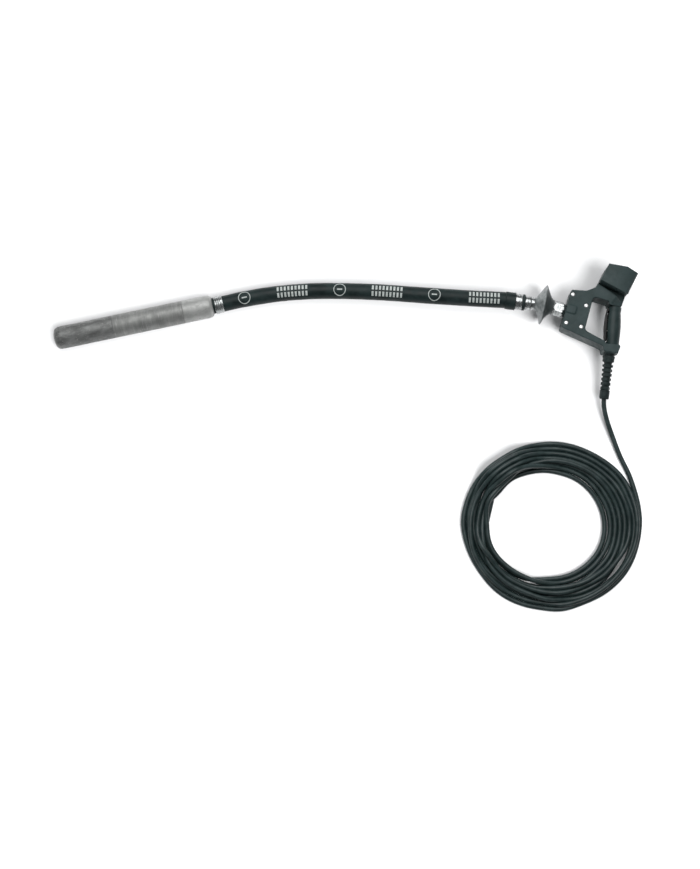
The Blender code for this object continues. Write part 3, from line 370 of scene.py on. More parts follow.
def cut(obj, *cutters, operation="DIFFERENCE"):
    """Cuts obj with tools, or joins them to it, and removes them."""
    settle(obj, *(("BOOLEAN", {"operation": operation, "object": c}) for c in cutters))
    for c in cutters:
        bpy.data.objects.remove(c, do_unlink=True)
    return obj


# ---- shapes --------------------------------------------------------------------------------------------------
def bridge(bm, one, two):
    """Joins two rings of vertices, either of which may be a single point."""
    count = max(len(one), len(two))
    for i in range(count):
        j = (i + 1) % count
        corners = [one[i % len(one)], one[j % len(one)], two[j % len(two)], two[i % len(two)]]
        bm.faces.new([v for k, v in enumerate(corners) if v not in corners[:k]])


def soft(points, steps=4):
    """An open profile of (x, r) or (x, r, fillet) points with its fillets rounded off."""
    made = [Vector(points[0][:2])]
    for before, point, after in zip(points, points[1:], points[2:]):
        here, radius = Vector(point[:2]), point[2] if len(point) > 2 else 0.0
        if not radius:
            made.append(here)
            continue
        one, two = (Vector(before[:2]) - here).normalized(), (Vector(after[:2]) - here).normalized()
        half = one.angle(two) / 2
        centre = here + (one + two).normalized() * (radius / math.sin(half))
        start = here + one * (radius / math.tan(half)) - centre
        end = here + two * (radius / math.tan(half)) - centre
        sweep = math.atan2(start.x * end.y - start.y * end.x, start.dot(end))
        made += [centre + Matrix.Rotation(sweep * k / steps, 2) @ start for k in range(steps + 1)]
    return made + [Vector(points[-1][:2])]


def lathe(profile, sides=64, shape=None):
    """Turns a profile about +X. shape(x, r, angle) may change a point's radius.

    A profile that starts off the axis is closed from its last point to its first.
    """
    bm = bmesh.new()
    rings = []
    for x, radius in (p[:2] for p in profile):
        ring = []
        for i in range(sides if radius > 1e-6 else 1):
            a = math.tau * i / sides
            r = shape(x, radius, a) if shape and radius > 1e-6 else radius
            ring.append(bm.verts.new((x, r * math.cos(a), r * math.sin(a))))
        rings.append(ring)
    for one, two in zip(rings, rings[1:]):
        bridge(bm, one, two)
    if len(rings[0]) > 1:
        bridge(bm, rings[-1], rings[0])
    return bm


def tube(start, end, outer, inner, fillet=0.5, sides=64):
    """A tube with softened outer edges."""
    return lathe(soft([(start, inner), (start, outer, fillet), (end, outer, fillet), (end, inner)]), sides)


def rod(start, end, radius, sides=32):
    return lathe([(start, 0), (start, radius), (end, radius), (end, 0)], sides)


def hexagon(inner_radius, angle):
    """The distance from the middle of a hexagon to its side, this way."""
    return inner_radius / math.cos((angle % (math.pi / 3)) - math.pi / 6)


def upright(bm, place):
    """Stands a turned shape up along +Z at a place."""
    bmesh.ops.rotate(bm, verts=bm.verts, matrix=Matrix.Rotation(math.radians(-90), 3, "Y"))
    bmesh.ops.translate(bm, verts=bm.verts, vec=place)
    return bm


def block(low, high):
    bm = bmesh.new()
    bmesh.ops.create_cube(bm, size=1.0)
    bmesh.ops.scale(bm, vec=[b - a for a, b in zip(low, high)], verts=bm.verts)
    bmesh.ops.translate(bm, vec=[(a + b) / 2 for a, b in zip(low, high)], verts=bm.verts)
    return bm


def rounded_outline(corners, steps=8):
    """The points of a closed outline of (x, y, radius) corners, each rounded by an arc."""
    looped = [corners[-1], *corners, corners[0]]
    return soft([(x, y, r) for x, y, r in looped], steps)[1:-1]


def prism(outline, low, high):
    bm = bmesh.new()
    face = bm.faces.new([bm.verts.new((p[0], p[1], low)) for p in outline])
    made = bmesh.ops.extrude_face_region(bm, geom=[face])
    raised = [v for v in made["geom"] if isinstance(v, bmesh.types.BMVert)]
    bmesh.ops.translate(bm, vec=(0, 0, high - low), verts=raised)
    return bm


def hull(points):
    bm = bmesh.new()
    done = bmesh.ops.convex_hull(bm, input=[bm.verts.new(p) for p in points])
    loose = {v for key in ("geom_interior", "geom_unused") for v in done[key]
             if isinstance(v, bmesh.types.BMVert)}
    bmesh.ops.delete(bm, geom=list(loose), context="VERTS")
    bmesh.ops.dissolve_limit(bm, angle_limit=0.01, verts=bm.verts, edges=bm.edges)
    return bm


def smooth_path(points, step):
    """Samples a step apart along the Catmull-Rom curve through points."""
    p = np.array([tuple(q) for q in points], dtype=float)
    p = np.vstack([2 * p[0] - p[1], p, 2 * p[-1] - p[-2]])
    dense = []
    for i in range(1, len(p) - 2):
        for t in np.linspace(0, 1, 48, endpoint=False):
            a = 2 * p[i] + (p[i + 1] - p[i - 1]) * t
            b = (2 * p[i - 1] - 5 * p[i] + 4 * p[i + 1] - p[i + 2]) * t ** 2
            c = (3 * p[i] - p[i - 1] - 3 * p[i + 1] + p[i + 2]) * t ** 3
            dense.append((a + b + c) / 2)
    return resampled(np.array(dense + [p[-2]]), step)


def resampled(line, step):
    """The same line with its points about a step apart."""
    along = np.concatenate([[0], np.cumsum(np.linalg.norm(np.diff(line, axis=0), axis=1))])
    wanted = np.linspace(0, along[-1], max(2, int(round(along[-1] / step)) + 1))
    return np.column_stack([np.interp(wanted, along, line[:, k]) for k in range(3)])


def strand(line, radius, up, sides=12):
    """A thin round solid along a line that never runs along up."""
    line = [Vector(p) for p in line]
    turns = [math.tau * k / sides for k in range(sides)]
    bm = bmesh.new()
    rings = []
    for i, point in enumerate(line):
        ahead = (line[min(i + 1, len(line) - 1)] - line[max(i - 1, 0)]).normalized()
        side = ahead.cross(Vector(up)).normalized()
        over = side.cross(ahead)
        rings.append([bm.verts.new(point + (side * math.cos(a) + over * math.sin(a)) * radius) for a in turns])
    for one, two in zip(rings, rings[1:]):
        bridge(bm, one, two)
    bm.faces.new(rings[0])
    bm.faces.new(rings[-1])
    return bm


def cable(name, path, radius, slot, body, nodes):
    """A round cable along a path in the world, as one open curve."""
    curve = bpy.data.curves.new(name, "CURVE")
    curve.dimensions = "3D"
    curve.bevel_depth = radius * MM
    curve.bevel_resolution = 6
    curve.use_fill_caps = True
    spline = curve.splines.new("POLY")
    spline.points.add(len(path) - 1)
    for point, place in zip(spline.points, path):
        point.co = (*(np.array(place) * MM), 1.0)
    obj = bpy.data.objects.new(name, curve)
    scene.collection.objects.link(obj)
    return finish_piece(obj, slot, body, nodes)


# ---- lead ----------------------------------------------------------------------------------------------------
CONNECTOR_ANGLE = math.radians(125.0)    # the connector lies along this place of an ellipse within the coil
ELLIPSE = (189.0, 189.0 * 0.937)
ALONG = (ELLIPSE[0] * math.cos(CONNECTOR_ANGLE), ELLIPSE[1] * math.sin(CONNECTOR_ANGLE))
CONNECTOR = placed((COIL_CENTRE.x + ALONG[0], COIL_CENTRE.y + ALONG[1], 16.2),
                   math.degrees(math.atan2(-ELLIPSE[1] * math.cos(CONNECTOR_ANGLE),
                                           ELLIPSE[0] * math.sin(CONNECTOR_ANGLE))))
FLOOR_Z = LEAD_RADIUS + 0.2
CORD_STEP = 8.0
OUTER_TURN = (514.7, -475.4, 216.6, 202.2)      # centre and half-sizes of the coil's outermost turn
INNER_TURN = (500.8, -474.1, 145.3, 133.0)
SMOOTHING = 61                           # samples over which a strand changes lanes
TAIL = (-62.0, -48.0, -34.0)             # where the lead enters the connector, along its axis
REACH, CLEARANCE = 44.0, 22.4            # a strand this near the connector's middle and axis lies over it
# turns from the coil's start, place across the band, 0 at its outer edge and 1 at its inner edge, and height
LANES = ((0.0, 0.0, 6), (0.45, 0.0, 6), (0.75, 0.03, 8), (1.0, 0.12, 16), (1.35, 0.15, 20), (1.8, 0.30, 20),
         (2.3, 0.50, 20), (2.8, 0.78, 20), (3.2, 0.90, 20), (3.6, 0.74, 20), (4.0, 0.56, 20), (4.4, 0.62, 14),
         (4.8, 0.46, 8), (5.1, 0.38, 6), (5.35, 0.22, 6), (5.9, 0.18, 6), (6.2, 0.20, 6), (6.45, 0.50, 18),
         (6.65, 0.92, 12), (6.8, 1.0, 6), (7.2, 0.97, 6), (7.6, 0.80, 6), (8.0, 0.66, 6), (8.3, 0.50, 6),
         (8.614, 0.37, 6))


def free_lead():
    """The lead from inside the strain relief down to the floor and along it to the coil."""
    falling = [(150.2, -256.0, 23.3), (157.2, -286.3, 18.0), (170.9, -325.7, 12.0), (189.4, -375.1, 7.4)]
    lying = [(x, y, FLOOR_Z) for x, y in ((212.2, -425), (228.4, -480), (234.2, -520), (234.6, -556))]
    points = [at(RELIEF, RELIEF_LENGTH - 8), at(RELIEF, RELIEF_LENGTH)]
    points += [Vector((PIVOT.x + x, PIVOT.y + y, z)) for x, y, z in falling + lying]
    return smooth_path(points, CORD_STEP)


def wound_turns():
    """The coil's turns as they are wound, before they settle."""
    turns, across, height = (np.array(column) for column in zip(*LANES))
    t = np.linspace(0.014, turns[-1], 1500)
    kernel = np.hanning(SMOOTHING) / np.hanning(SMOOTHING).sum()

    def smoothed(values):
        padded = np.pad(np.interp(t, turns, values), SMOOTHING // 2, mode="edge")
        return np.convolve(padded, kernel, mode="valid")

    u, z = smoothed(across), smoothed(height)
    angle = -math.tau * t
    wobble = 0.035 * np.sin(1.7 * angle + 0.8) + 0.025 * np.sin(0.61 * angle + 2.0)
    u = u + wobble * np.clip(t - 0.3, 0, 1) * np.clip(turns[-1] - t, 0, 1)
    outer, inner = (np.column_stack([x + half_x * np.cos(angle), y + half_y * np.sin(angle)])
                    for x, y, half_x, half_y in (OUTER_TURN, INNER_TURN))
    flat = outer * (1 - u[:, None]) + inner * u[:, None]
    return np.column_stack([flat, np.maximum(z, FLOOR_Z)])


def settled(line, held, rounds):
    """The cord after its turns sank onto the floor, each other and the connector. The held start stays."""
    p, rest, count = line.copy(), line.copy(), len(line)
    free = np.ones(count)
    free[:held] = 0
    free[-4:] = 0
    size = np.linalg.norm(np.diff(line, axis=0), axis=1)
    apart = 2 * LEAD_RADIUS + 0.25
    axis, across = (np.array(CONNECTOR.to_3x3() @ Vector(v)) for v in ((1, 0, 0), (0, 1, 0)))
    middle = np.array(CONNECTOR.translation)
    one = two = np.zeros(0, int)
    for step in range(rounds):
        # the cord sinks for most of the rounds, and is drawn back to the place where it was wound
        if step < rounds * 0.7:
            p[:, 2] -= 0.25 * free
            p[:, :2] += (0.04 * (rest - p) * free[:, None])[:, :2]

        # strands that touch move apart, mostly upwards, the later one on top of the earlier
        if step % 8 == 0:
            tree = KDTree(count)
            for i, point in enumerate(p):
                tree.insert(point, i)
            tree.balance()
            pairs = [(i, j) for i in range(held, count) for _, j, _ in tree.find_range(p[i], apart + 4)
                     if j < i - 6]
            one, two = np.array(pairs).T if pairs else (one, two)
        if len(one):
            gap = p[one] - p[two]
            distance = np.maximum(np.linalg.norm(gap, axis=1), 1e-6)
            gap[:, 2] = (gap[:, 2] - 0.5 * np.sign(one - two)) * 1.5
            push = np.maximum(apart - distance, 0)[:, None] * gap / np.linalg.norm(gap, axis=1)[:, None]
            share = free[one] + free[two]
            share = np.where(share > 0, share, 1)
            np.add.at(p, one, 0.45 * push * (2 * free[one] / share)[:, None])
            np.add.at(p, two, -0.45 * push * (2 * free[two] / share)[:, None])

        # strands over the connector are lifted onto it, except the tail that enters it
        away = p - middle
        beside = np.abs(away @ across)
        over = (np.abs(away @ axis) < REACH) & (beside < CLEARANCE) & (free > 0)
        over[-26:] = False
        roof = middle[2] + np.sqrt(np.maximum(CLEARANCE ** 2 - beside ** 2, 0))
        p[:, 2] = np.where(over, np.maximum(p[:, 2], np.minimum(roof, p[:, 2] + 1.5)), p[:, 2])

        # the cord resists changes of its bend, keeps its length and stays above the floor
        bend = np.zeros_like(p)
        bend[1:-1] = (p[:-2] + p[2:]) / 2 - p[1:-1]
        stiff = np.zeros_like(p)
        stiff[1:-1] = (bend[:-2] + bend[2:]) / 2 - bend[1:-1]
        p -= 0.5 * stiff * free[:, None]
        for start in (0, 1):
            a, b = np.arange(start, count - 1, 2), np.arange(start, count - 1, 2) + 1
            gap = p[b] - p[a]
            distance = np.linalg.norm(gap, axis=1)
            pull = ((distance - size[a]) / distance * 0.45)[:, None] * gap
            p[a] += pull * free[a][:, None]
            p[b] -= pull * free[b][:, None]
        p[:, 2] = np.where(free > 0, np.maximum(p[:, 2], FLOOR_Z), p[:, 2])
    return p


def lead():
    """The whole lead as one cord: the free stretch, the coil and the tail that enters the connector."""
    start = free_lead()
    wound = wound_turns()
    tail = [at(CONNECTOR, x) for x in TAIL]
    tail[0].z, tail[1].z = 12.5, 15.6
    last, before = 120, np.array(at(CONNECTOR, -120))[:2]      # the tail follows one of the last samples
    nearest = int(np.argmin(np.linalg.norm(wound[-last:, :2] - before, axis=1)))
    joined = np.vstack([wound[:len(wound) - last + nearest], tail])
    coil = smooth_path(joined[::12].tolist() + [tuple(v) for v in tail], CORD_STEP)
    line = np.vstack([start, coil[1:]])
    line = settled(line, len(start) - 2, 420)
    piece = cable("power_lead", line, LEAD_RADIUS, "lead_rubber", "handle", ("lead", "lead_coil"))
    return piece, float(np.linalg.norm(np.diff(line, axis=0), axis=1).sum()) * MM


def connector():
    """The lead's round connector: a rubber body with grip ridges and a knurled ring."""
    body = [(-39, 6.4), (-39, 8.5, 0.8), (-31, 9.8, 3), (-25, 14.2, 2)]
    for i in range(6):
        body += [(-21 + 4 * i, 14.2), (-20.4 + 4 * i, 13.3), (-18.6 + 4 * i, 13.3), (-18 + 4 * i, 14.2)]
    body += [(6, 14.2, 0.5), (6, 13), (36.6, 13, 0.8), (36.6, 11), (14, 11), (14, 6.4)]
    shell = make("connector_shell", lathe(soft(body), 48), CONNECTOR, "black_rubber", "handle",
                 ("connector_body",))

    def knurl(x, r, a):
        return r - (0.5 if 12.5 < x < 27.5 and math.cos(32 * a) < 0 else 0)

    ring = soft([(8, 13.4), (8, 15.9, 1), (12, 15.9), (12, 15.3), (28, 15.3), (28, 15.9), (32, 15.9, 1),
                 (32, 13.4)])
    lock = make("connector_lock", lathe(ring, 96, knurl), CONNECTOR, "bright_steel", "handle",
                ("connector_ring",))
    return [shell, lock]


# ---- head ----------------------------------------------------------------------------------------------------
def head():
    def worn(x, r, a):
        """Small flats and dents of a casing that has been used."""
        return r + 0.12 * math.sin(3 * a + x / 17) * math.sin(x / 31) - 0.1 * (math.sin(7 * a + x / 9) > 0.93)

    full = HEAD_RADIUS
    nose = soft([(0, 0), (0, 15, 3), (1.2, 19.5, 6), (4, 23.6, 8), (8, 26.6, 10), (13.6, 28.2, 6), (15.2, 28.4),
                 (15.6, 27.7), (17.4, 27.7), (17.8, full)], 5)
    nose += [Vector((x, full)) for x in range(24, 148, 6)]
    nose += soft([(148, full), (149, 28.3, 0.4), (149, 24)]) + [(20, 24), (20, 0)]
    make("head_nose", lathe(nose, 96, worn), HEAD, "nose_steel", "head", ("nose_tube",))
    wall = [(149.3, 24), (149.3, 28.3, 0.4), (150.4, full)] + [(x, full) for x in range(156, 324, 8)]
    wall += [(326.6, full), (327.7, 28.2, 0.4), (327.7, 24)]
    make("head_tube", lathe(soft(wall), 96, worn), HEAD, "tube_steel", "head", ("stator_tube",))
    end = [(328, 24), (328, 28.2, 0.4), (329, full)] + [(x, full) for x in range(334, 386, 6)]
    end += [(389, full, 4), (396, 27.5, 6), (400.8, 24.6, 3), (403, 20.5, 1.5), (403, 12.8), (437, 12.8),
            (437, 6.5), (376, 6.5)]
    make("head_end", lathe(soft(end, 6), 96, worn), HEAD, "end_steel", "head", ("end_piece",))
    clamp = [(408.5, 20.4), (408.5, 21.3, 0.4)]
    for i in range(4):
        clamp += [(409.6 + 5 * i, 22.0, 0.6), (412.2 + 5 * i, 22.0, 0.6), (413.0 + 5 * i, 21.2, 0.4)]
    clamp += [(429.5, 21.2, 0.4), (429.5, 20.4)]
    make("hose_clamp", lathe(soft(clamp), 96), HEAD, "bright_steel", "head", ("head_hose_clamp",))


# ---- hose ----------------------------------------------------------------------------------------------------
HOSE_WAY = ((-757, 17.4, -21.0), (-681, 30.0, -18.2), (-606, 36.6, -14.6), (-531, 38.0, -11.0),
            (-418, 33.9, -6.2), (-305, 25.2, -2.8), (-193, 17.2, -0.6))      # its middle, from PIVOT
MARK_BLOCKS = (204.0, 441.0, 683.0)      # mm along the hose from the head
MARK_RINGS = (82.0, 322.0, 558.0)
MARK_HEIGHT = 0.12


def hose_points(before, after):
    """Places along the hose, from places on the head's axis to places on the hose end's."""
    points = [at(HEAD, x) for x in before] + [PIVOT + Vector(p) for p in HOSE_WAY]
    return points + [at(HOSE_END, x) for x in after]


def hose_skin():
    """A function that gives points on the hose, and the hose's length."""
    line = smooth_path(hose_points((HEAD_LENGTH + 0.6, 420, 438), (-105, -88, -71.1)), 3.0)
    along = np.concatenate([[0], np.cumsum(np.linalg.norm(np.diff(line, axis=0), axis=1))])
    tangents = np.gradient(line, along, axis=0)

    def skin(s, a, height=0.0):
        """A point s mm along the hose, at an angle a from its upper side, clockwise as seen from the head."""
        centre = Vector([np.interp(s, along, line[:, k]) for k in range(3)])
        ahead = Vector([np.interp(s, along, tangents[:, k]) for k in range(3)]).normalized()
        side = Vector((0, 0, 1)).cross(ahead).normalized()
        up = ahead.cross(side)
        left = along[-1] - s
        cuff = 1.9 * min(1.0, max(0.0, (25.0 - left) / 1.2)) + 0.5 * math.exp(-(left / 1.5) ** 2)
        uneven = 0.12 * math.sin(s / 23.0 + 2 * a) + 0.08 * math.sin(s / 7.0 + 3 * a)
        return centre + (up * math.cos(a) + side * math.sin(a)) * (HOSE_RADIUS + cuff + uneven + height)

    return skin, along[-1]


def hose(skin, length):
    """The rubber hose with its raised rear cuff."""
    sides, wall = 56, 6.0
    bm = bmesh.new()
    stations = list(np.arange(0, length - 27, 3.0))
    stations += list(length - np.array([26, 25, 24.4, 23.8, 20, 14, 8, 4, 2, 1, 0]))
    rings = [[bm.verts.new(skin(s, math.tau * i / sides)) for i in range(sides)] for s in stations]
    for s in (*stations[::-6], 0.0):
        rings.append([bm.verts.new(skin(s, math.tau * i / sides, -wall)) for i in range(sides)])
    for one, two in zip(rings, rings[1:] + rings[:1]):
        bridge(bm, one, two)
    return make("rubber_hose", bm, WORLD, "hose_rubber", "head", ("protective_hose",), ride=False)


def printed_marks(skin):
    """Plain printed bars and rings along the hose's upper side."""
    bm = bmesh.new()

    def place(s, y):
        """A point of the print, s mm along the hose and y mm across it as seen from above."""
        return bm.verts.new(skin(s, math.asin(max(-0.99, min(0.99, y / HOSE_RADIUS))), MARK_HEIGHT))

    def bar(s0, s1, y0, y1, steps_s, steps_y):
        grid = [[place(s0 + (s1 - s0) * i / steps_s, y0 + (y1 - y0) * j / steps_y) for j in range(steps_y + 1)]
                for i in range(steps_s + 1)]
        for one, two in zip(grid, grid[1:]):
            for j in range(steps_y):
                bm.faces.new([one[j], two[j], two[j + 1], one[j + 1]])

    def ring(s, radius, width, sides=40):
        turns = [math.tau * i / sides for i in range(sides)]
        bridge(bm, *([place(s + r * math.cos(t), r * math.sin(t)) for t in turns]
                     for r in (radius, radius - width)))

    for middle in MARK_BLOCKS:
        for y0, y1 in ((2.0, 13.0), (-13.5, -2.5)):
            for i in range(9):
                start = middle - 39 + i * 8.9
                bar(start, start + 5.0, y0, y1, 3, 5)
    for middle in MARK_RINGS:
        ring(middle, 15.5, 1.8)
        bar(middle - 6.5, middle + 6.5, -1.6, 1.6, 5, 2)
    return make("printed_marks", bm, WORLD, "mark_paint", "head", ride=False)


def hose_and_marks():
    skin, length = hose_skin()
    start, end = skin(30, 0) * MM, skin(length - 30, 0) * MM
    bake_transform(hose(skin, length))
    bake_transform(printed_marks(skin))


def hose_core():
    """The cable inside the hose, in two lengths: one along the hose, one through the ball joint into the
    handle.
    """
    radius = 3.8
    points = hose_points((368, 420, 438), (-105, -88, -50, -10)) + [at(HANDLE, x) for x in (10, 40, 66.5)]
    line = smooth_path(points, 3.0)
    split = int(np.argmin(np.linalg.norm(line - np.array(at(HOSE_END, -24)), axis=1)))
    front = make("cable_in_hose", strand(line[:split + 1], radius, (0, 0, 1)), WORLD, "black_rubber", "head",
                 ("hose_cable",), ride=False)
    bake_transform(front)
    rear = make("cable_in_joint", strand(line[split:], radius, (0, 0, 1)), WORLD, "black_rubber", "handle",
                ("hose_cable",), ride=False)
    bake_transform(rear)


# ---- coupling ------------------------------------------------------------------------------------------------
BORE = 10.3                              # through the coupling's pieces, round the cable


def coupling():
    """The ferrule, gasket, sleeve and collar between the hose and the bellows."""
    ferrule = soft([(-53.5, BORE), (-53.5, 19.6, 0.6), (-56, 19.8), (-56.6, 19.2), (-60, 19.2), (-60.6, 19.8),
                    (-70.6, 19.8, 0.8), (-70.8, 12.8), (-104, 12.8), (-104, 11)])
    make("ferrule", lathe(ferrule, 72), HOSE_END, "bright_steel", "hose_end", ("rear_ferrule",))
    ring = tube(-53.2, -46.8, 20.2, BORE, 1.2, 72)
    make("ferrule_gasket", ring, HOSE_END, "black_rubber", "hose_end", ("ferrule_ring",))
    sleeve = soft([(-46.5, BORE), (-46.5, 17.6, 0.8), (-40, 17.6, 0.4), (-39.4, 17.0), (-38.4, 17.0),
                   (-37.8, 17.5), (-31.3, 17.2, 1.0), (-31.3, BORE)])
    make("sleeve", lathe(sleeve, 72), HOSE_END, "bright_steel", "hose_end", ("coupling_sleeve",))
    collar = soft([(-31, BORE), (-31, 15.2, 0.6), (-22.3, 15.2, 0.8), (-22.3, 12), (-17.5, 12), (-17.5, BORE)])
    make("collar", lathe(collar, 72), HOSE_END, "bright_steel", "hose_end", ("neck_collar",))


def bellows():
    """The boot over the ball joint. A ring's third number turns it from the hose end's yaw to the handle's."""
    outer = [(-22, 15.3, 0.0), (-20.5, 16.2, 0.0), (-18, 18.0, 0.0), (-13.5, 24.0, 0.05), (-9.5, 31.0, 0.15),
             (-6, 38.5, 0.3), (-3, 45.8, 0.45), (-1.5, 49.2, 0.5), (0, 50.3, 0.5), (1.5, 49.2, 0.5),
             (3, 45.8, 0.55), (6.5, 38.0, 0.7), (10.5, 30.5, 0.85), (15, 24.0, 0.95), (20, 19.4, 1.0),
             (25, 17.8, 1.0)]
    inner = [(25, 16.0, 1), (19.5, 17.2, 1), (13.5, 22.6, 0.95), (1.6, 45.4, 0.5), (0, 47.4, 0.5),
             (-1.6, 45.4, 0.5), (-12, 23, 0.05), (-17.8, 16, 0), (-22, 13.6, 0)]
    sides = 96
    bm = bmesh.new()
    rings = []
    for k, (x, radius, mix) in enumerate(outer + inner):
        turn = Matrix.Rotation(math.radians(HOSE_END_YAW + (HANDLE_YAW - HOSE_END_YAW) * mix), 3, "Z")
        ring = []
        for i in range(sides):
            a = math.tau * i / sides
            fold = max(0.0, 1 - abs(radius - 36) / 14) * (0.35 * math.sin(9 * a + 1) + 0.2 * math.sin(23 * a))
            r = radius + (fold if k < len(outer) else 0.0)
            ring.append(bm.verts.new(PIVOT + turn @ Vector((x, r * math.cos(a), r * math.sin(a)))))
        rings.append(ring)
    for one, two in zip(rings, rings[1:] + rings[:1]):
        bridge(bm, one, two)
    boot = make("bellows_boot", bm, WORLD, "bellows_rubber", "handle", ("bellows",), 50.0, ride=False)
    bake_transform(boot)


def hexagon_nut():
    """The nut that holds the handle, and its seal."""
    def flats(x, r, a):
        return min(hexagon(16.45, a), r) if r > 12 else r

    nut = soft([(27.5, BORE), (27.5, 16.8), (29.2, 19.2), (48.6, 19.2), (50.3, 16.8), (50.3, BORE)])
    make("hexagon_nut", lathe(nut, 96, flats), HANDLE, "bright_steel", "handle", ("union_nut",), 22.0)
    seal = tube(50.6, 55.1, 15.8, 10.6, 0.8, 48)
    make("nut_seal", seal, HANDLE, "black_rubber", "handle", ("joint_seal",))


# ---- handle --------------------------------------------------------------------------------------------------
CASING_PARTS = ("body", "arm", "beam")   # the CAD has each of these in a top and a bottom half
SCREW_POCKET = ((24.5, 0), (24.5, 6.0), (33, 6.0), (33, 0))


def casing():
    """Both halves of the casing, moulded from one soft shape and parted at the middle plane."""
    outline = rounded_outline([
        (55.5, -49, 6), (168, -66.5, 5), (171, -78, 4), (207, -74, 5), (209.6, -50.7, 5), (171.3, -58.3, 1.5),
        (168, -52.2, 4), (113.5, -40, 9), (112.5, 48, 9), (152, 47, 2.5), (155.0, 38.9, 4), (187.5, 45.6, 5),
        (190.6, 77, 5), (116.1, 84, 3), (111.9, 72.9, 12), (92.8, 57.9, 20), (55.5, 50, 5)])
    shape = make("casing", prism(outline, -28, 28), HANDLE, "handle_plastic")
    boss = soft([(97.6, 0), (97.6, 18.3, 1), (101, 20.6, 2), (104, 21.3, 2), (114.5, 21.3, 3), (120.5, 17.2, 2),
                 (120.5, 0)])
    rib = rounded_outline([(56.5, -8.5, 1), (80, -8.5, 4), (80, 11.5, 4), (56.5, 11.5, 1)])
    cut(shape, tool(lathe(boss, 64), GRIP @ Matrix.Translation((0, -4.5, 0))), tool(prism(rib, 10, 30.4)),
        operation="UNION")
    valley = rounded_outline([(116, 82.6, 0.4), (133.8, 77.6, 10), (148, 72.5, 10), (158.7, 68.3, 10),
                              (172.0, 62.6, 8), (184, 56.5, 3), (200, 56.5, 1), (200, 92, 1), (116, 92, 1)])
    cut(shape, *(tool(prism(valley, *depth)) for depth in ((7, 40), (-40, -7))))
    shoulder = [(166, 64, 28.5), (200, 64, 28.5), (200, 36, 28.5), (158, 42, 28.5), (200, 64, 2), (200, 36, 2)]
    cut(shape, *(tool(hull([(x, y, side * z) for x, y, z in shoulder])) for side in (1, -1)))
    coarse = 1.1
    settle(shape, ("REMESH", {"mode": "VOXEL", "voxel_size": coarse * MM, "adaptivity": 0.0}),
           ("SMOOTH", {"factor": 0.5, "iterations": 9}))
    for label, low, high in (("top", 0.12, 60), ("bottom", -60, -0.12)):
        half = shape.copy()
        half.data = shape.data.copy()
        scene.collection.objects.link(half)
        half.name = f"casing_{label}"
        cut(half, tool(block((0, -150, low), (260, 150, high))), operation="INTERSECT")
        holes = [tool(rod(-8, 3, 12.2), GRIP), tool(rod(93, 101, 12.2), GRIP), tool(rod(-2, 14, 12.3), RELIEF),
                 tool(rod(50, 60, 10.2))]
        if label == "top":
            holes += [tool(upright(lathe(SCREW_POCKET, 40), (x, y, 0))) for x, y in SCREW_PLACES]
        cut(half, *holes)
        shade(half, 50)
        finish_piece(half, "handle_plastic", "handle", [f"handle_{part}_{label}" for part in CASING_PARTS])
    bpy.data.objects.remove(shape, do_unlink=True)


def case_screws():
    """Domed screw heads with a hexagon socket."""
    profile = soft([(24.8, 0), (24.8, 5.2), (26.4, 5.4, 0.6), (28.2, 4.0, 1.2), (28.5, 2.2), (26.6, 2.0),
                    (26.6, 0)])

    def socket(x, r, a):
        return min(r, hexagon(1.75, a)) if r <= 2.2 else r

    for i, (x, y) in enumerate(SCREW_PLACES, 1):
        make(f"screw_head_{i}", upright(lathe(profile, 48, socket), (x, y, 0)), HANDLE, "zinc", "handle",
             (f"case_screw_{i}",))


def guard():
    """The block that shields the hand, with softened edges."""
    low, high = -PIVOT.z, 49.5
    near = [(117.0, 84.5), (191.4, 77.4)]
    top = [(118.6, 93.0, high), (126.7, 133.7, high), (172.6, 138.7, high), (198.0, 130.6, high)]
    base = [(x, y, z) for x, y in near for z in (-28, 28)]
    base += [(118.6, 93.0, low), (126.7, 133.7, low), (172.6, 138.7, low), (202.7, 131.1, low),
             (193.6, 86.5, low)]
    base += [*top, (202.7, 131.1, high - 7), (193.6, 86.5, high - 7)]
    brow = [(x, y, 28.3) for x, y in (*near, (119, 100), (196, 100))]
    brow += [*top[:1], (198.0, 130.6, high), (116.4, 89.0, high), (184.0, 73.6, high), (191.6, 73.0, high - 7)]
    piece = make("guard_block", hull(base), HANDLE, "handle_plastic")
    cut(piece, tool(hull(brow)), operation="UNION")
    settle(piece, ("BEVEL", {"width": 2.6 * MM, "segments": 4, "limit_method": "ANGLE",
                             "angle_limit": math.radians(8), "use_clamp_overlap": True}))
    shade(piece, 60)
    finish_piece(piece, "handle_plastic", "handle", ("hand_guard",))


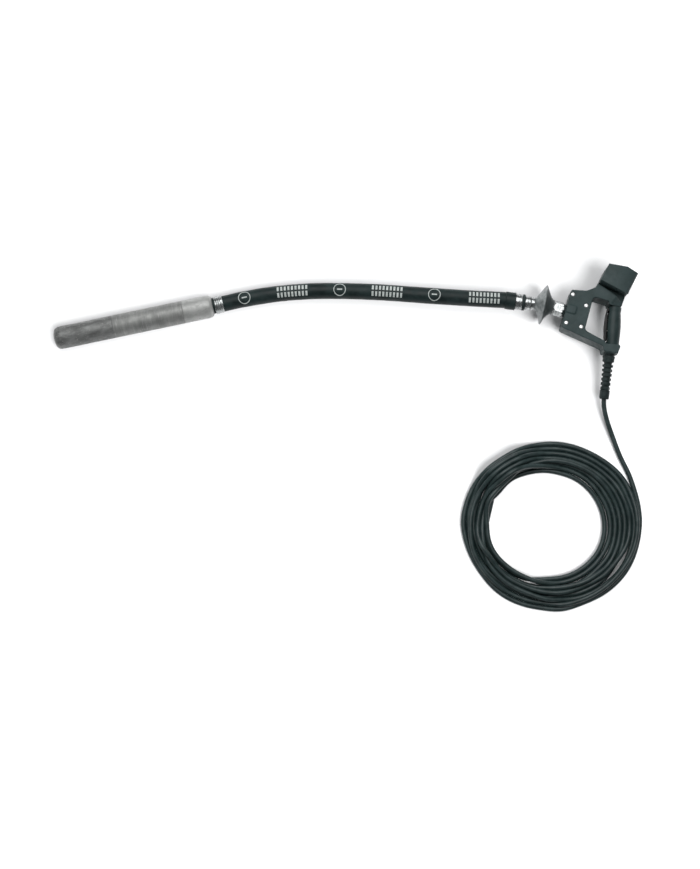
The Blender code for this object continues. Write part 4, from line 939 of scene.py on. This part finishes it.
def grip():
    """The grip's barrel with its lever slot, and the long lever in it."""
    barrel = soft([(0.2, 11.5), (0.2, 18.2, 1), (6, 17.9, 2), (14, 17.0, 12), (30, 18.4, 30), (50, 19.1, 40),
                   (68, 18.6, 40), (86, 17.4, 20), (97.4, 16.8, 0.8), (97.4, 11.5)], 8)
    piece = make("grip_barrel", lathe(barrel, 72), GRIP, "grip_rubber")
    cut(piece, tool(block((3, -26, -11.6), (90, -10.5, 11.6)), GRIP, "grip_rubber"))
    shade(piece, 30)
    finish_piece(piece, "grip_rubber", "handle", ("grip_sleeve",))
    outline = rounded_outline([(-3.6, 2.2, 1.4), (-3.6, -2.4, 1.4), (14, -5.4, 8), (42, -7.8, 20),
                               (70, -6.2, 14), (79.5, -3.6, 1.2), (79.5, -1.6, 0.8), (5, -1.6, 1),
                               (3.4, 2.2, 1)])
    hinged = GRIP @ Matrix.Translation(LEVER_PIVOT)
    lever = make("squeeze_lever", prism(outline, -11, 11), hinged, "lever_plastic")
    settle(lever, ("BEVEL", {"width": 1.4 * MM, "segments": 3, "limit_method": "ANGLE",
                             "angle_limit": math.radians(50)}))
    shade(lever, 50)
    finish_piece(lever, "lever_plastic", "lever", ("deadman_lever",))


def return_spring():
    """The lever's spring, as a coiled wire."""
    middle, radius, turns = 34, 2.4, 3
    angles = [math.tau * turns * i / 60 for i in range(61)]
    line = [(middle + radius * math.cos(a), -15.65 + 2.9 * a / (math.tau * turns), radius * math.sin(a))
            for a in angles]
    piece = make("return_spring", strand(line, 0.45, (0, 1, 0), 8), GRIP, "bright_steel", "handle",
                 ("lever_spring",), ride=False)
    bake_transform(piece)


def strain_relief():
    """The ribbed rubber sleeve round the lead, with its gland ring and end cuff."""
    bore, first, pitch = LEAD_RADIUS + 0.3, 22.0, 11.2
    section = [(-10, bore), (-10, 12.0), (4.6, 12.0), (5.0, 15.2, 1), (9, 15.4, 1), (10, 14.6, 0.6),
               (19, 14.4, 1.5), (20.5, 10.2, 1), (first + 3.6, 9.6, 1)]
    for i in range(6):
        start, radius = first + pitch * i, 13.6 - 0.28 * i
        section += [(start + 4.2, radius - 0.4, 1.2), (start + 10.4, radius - 0.4, 1.4),
                    (start + 11.0, 9.5, 0.8), (start + 14.6, 9.5, 0.8)]
    section = section[:-1] + [(91, 12.4, 1), (110, 11.8, 1.2), (RELIEF_LENGTH, 11.2, 0.8),
                              (RELIEF_LENGTH, bore)]

    def ribs(x, r, a):
        """The ribs are open on alternate sides, as on a sleeve that bends."""
        if not first + 3 < x < 90 or r < 10.5:
            return r
        turn = int((x - first) // pitch)
        return r - 2.2 * max(0.0, math.cos(a - (0.5 if turn % 2 else math.pi - 0.5)) - 0.86) / 0.14

    make("ribbed_sleeve", lathe(soft(section), 64, ribs), RELIEF, "black_rubber", "handle",
         ("strain_relief",), 40)


# ---- carried-over parts --------------------------------------------------------------------------------------
def dress_frame():
    """Gives each CAD part that stays the surface that its slot names."""
    for entry in frame["record"]["subparts"]:
        data = frame["nodes"][entry["node"]].data
        data.materials.clear()
        data.materials.append(SURFACES[entry["material_slot"]].material)


camera()
studio()
dress_frame()
lead_piece, lead_length = lead()
connector_pieces = connector()
head()
hose_and_marks()
hose_core()
coupling()
bellows()
hexagon_nut()
casing()
case_screws()
guard()
grip()
return_spring()
strain_relief()
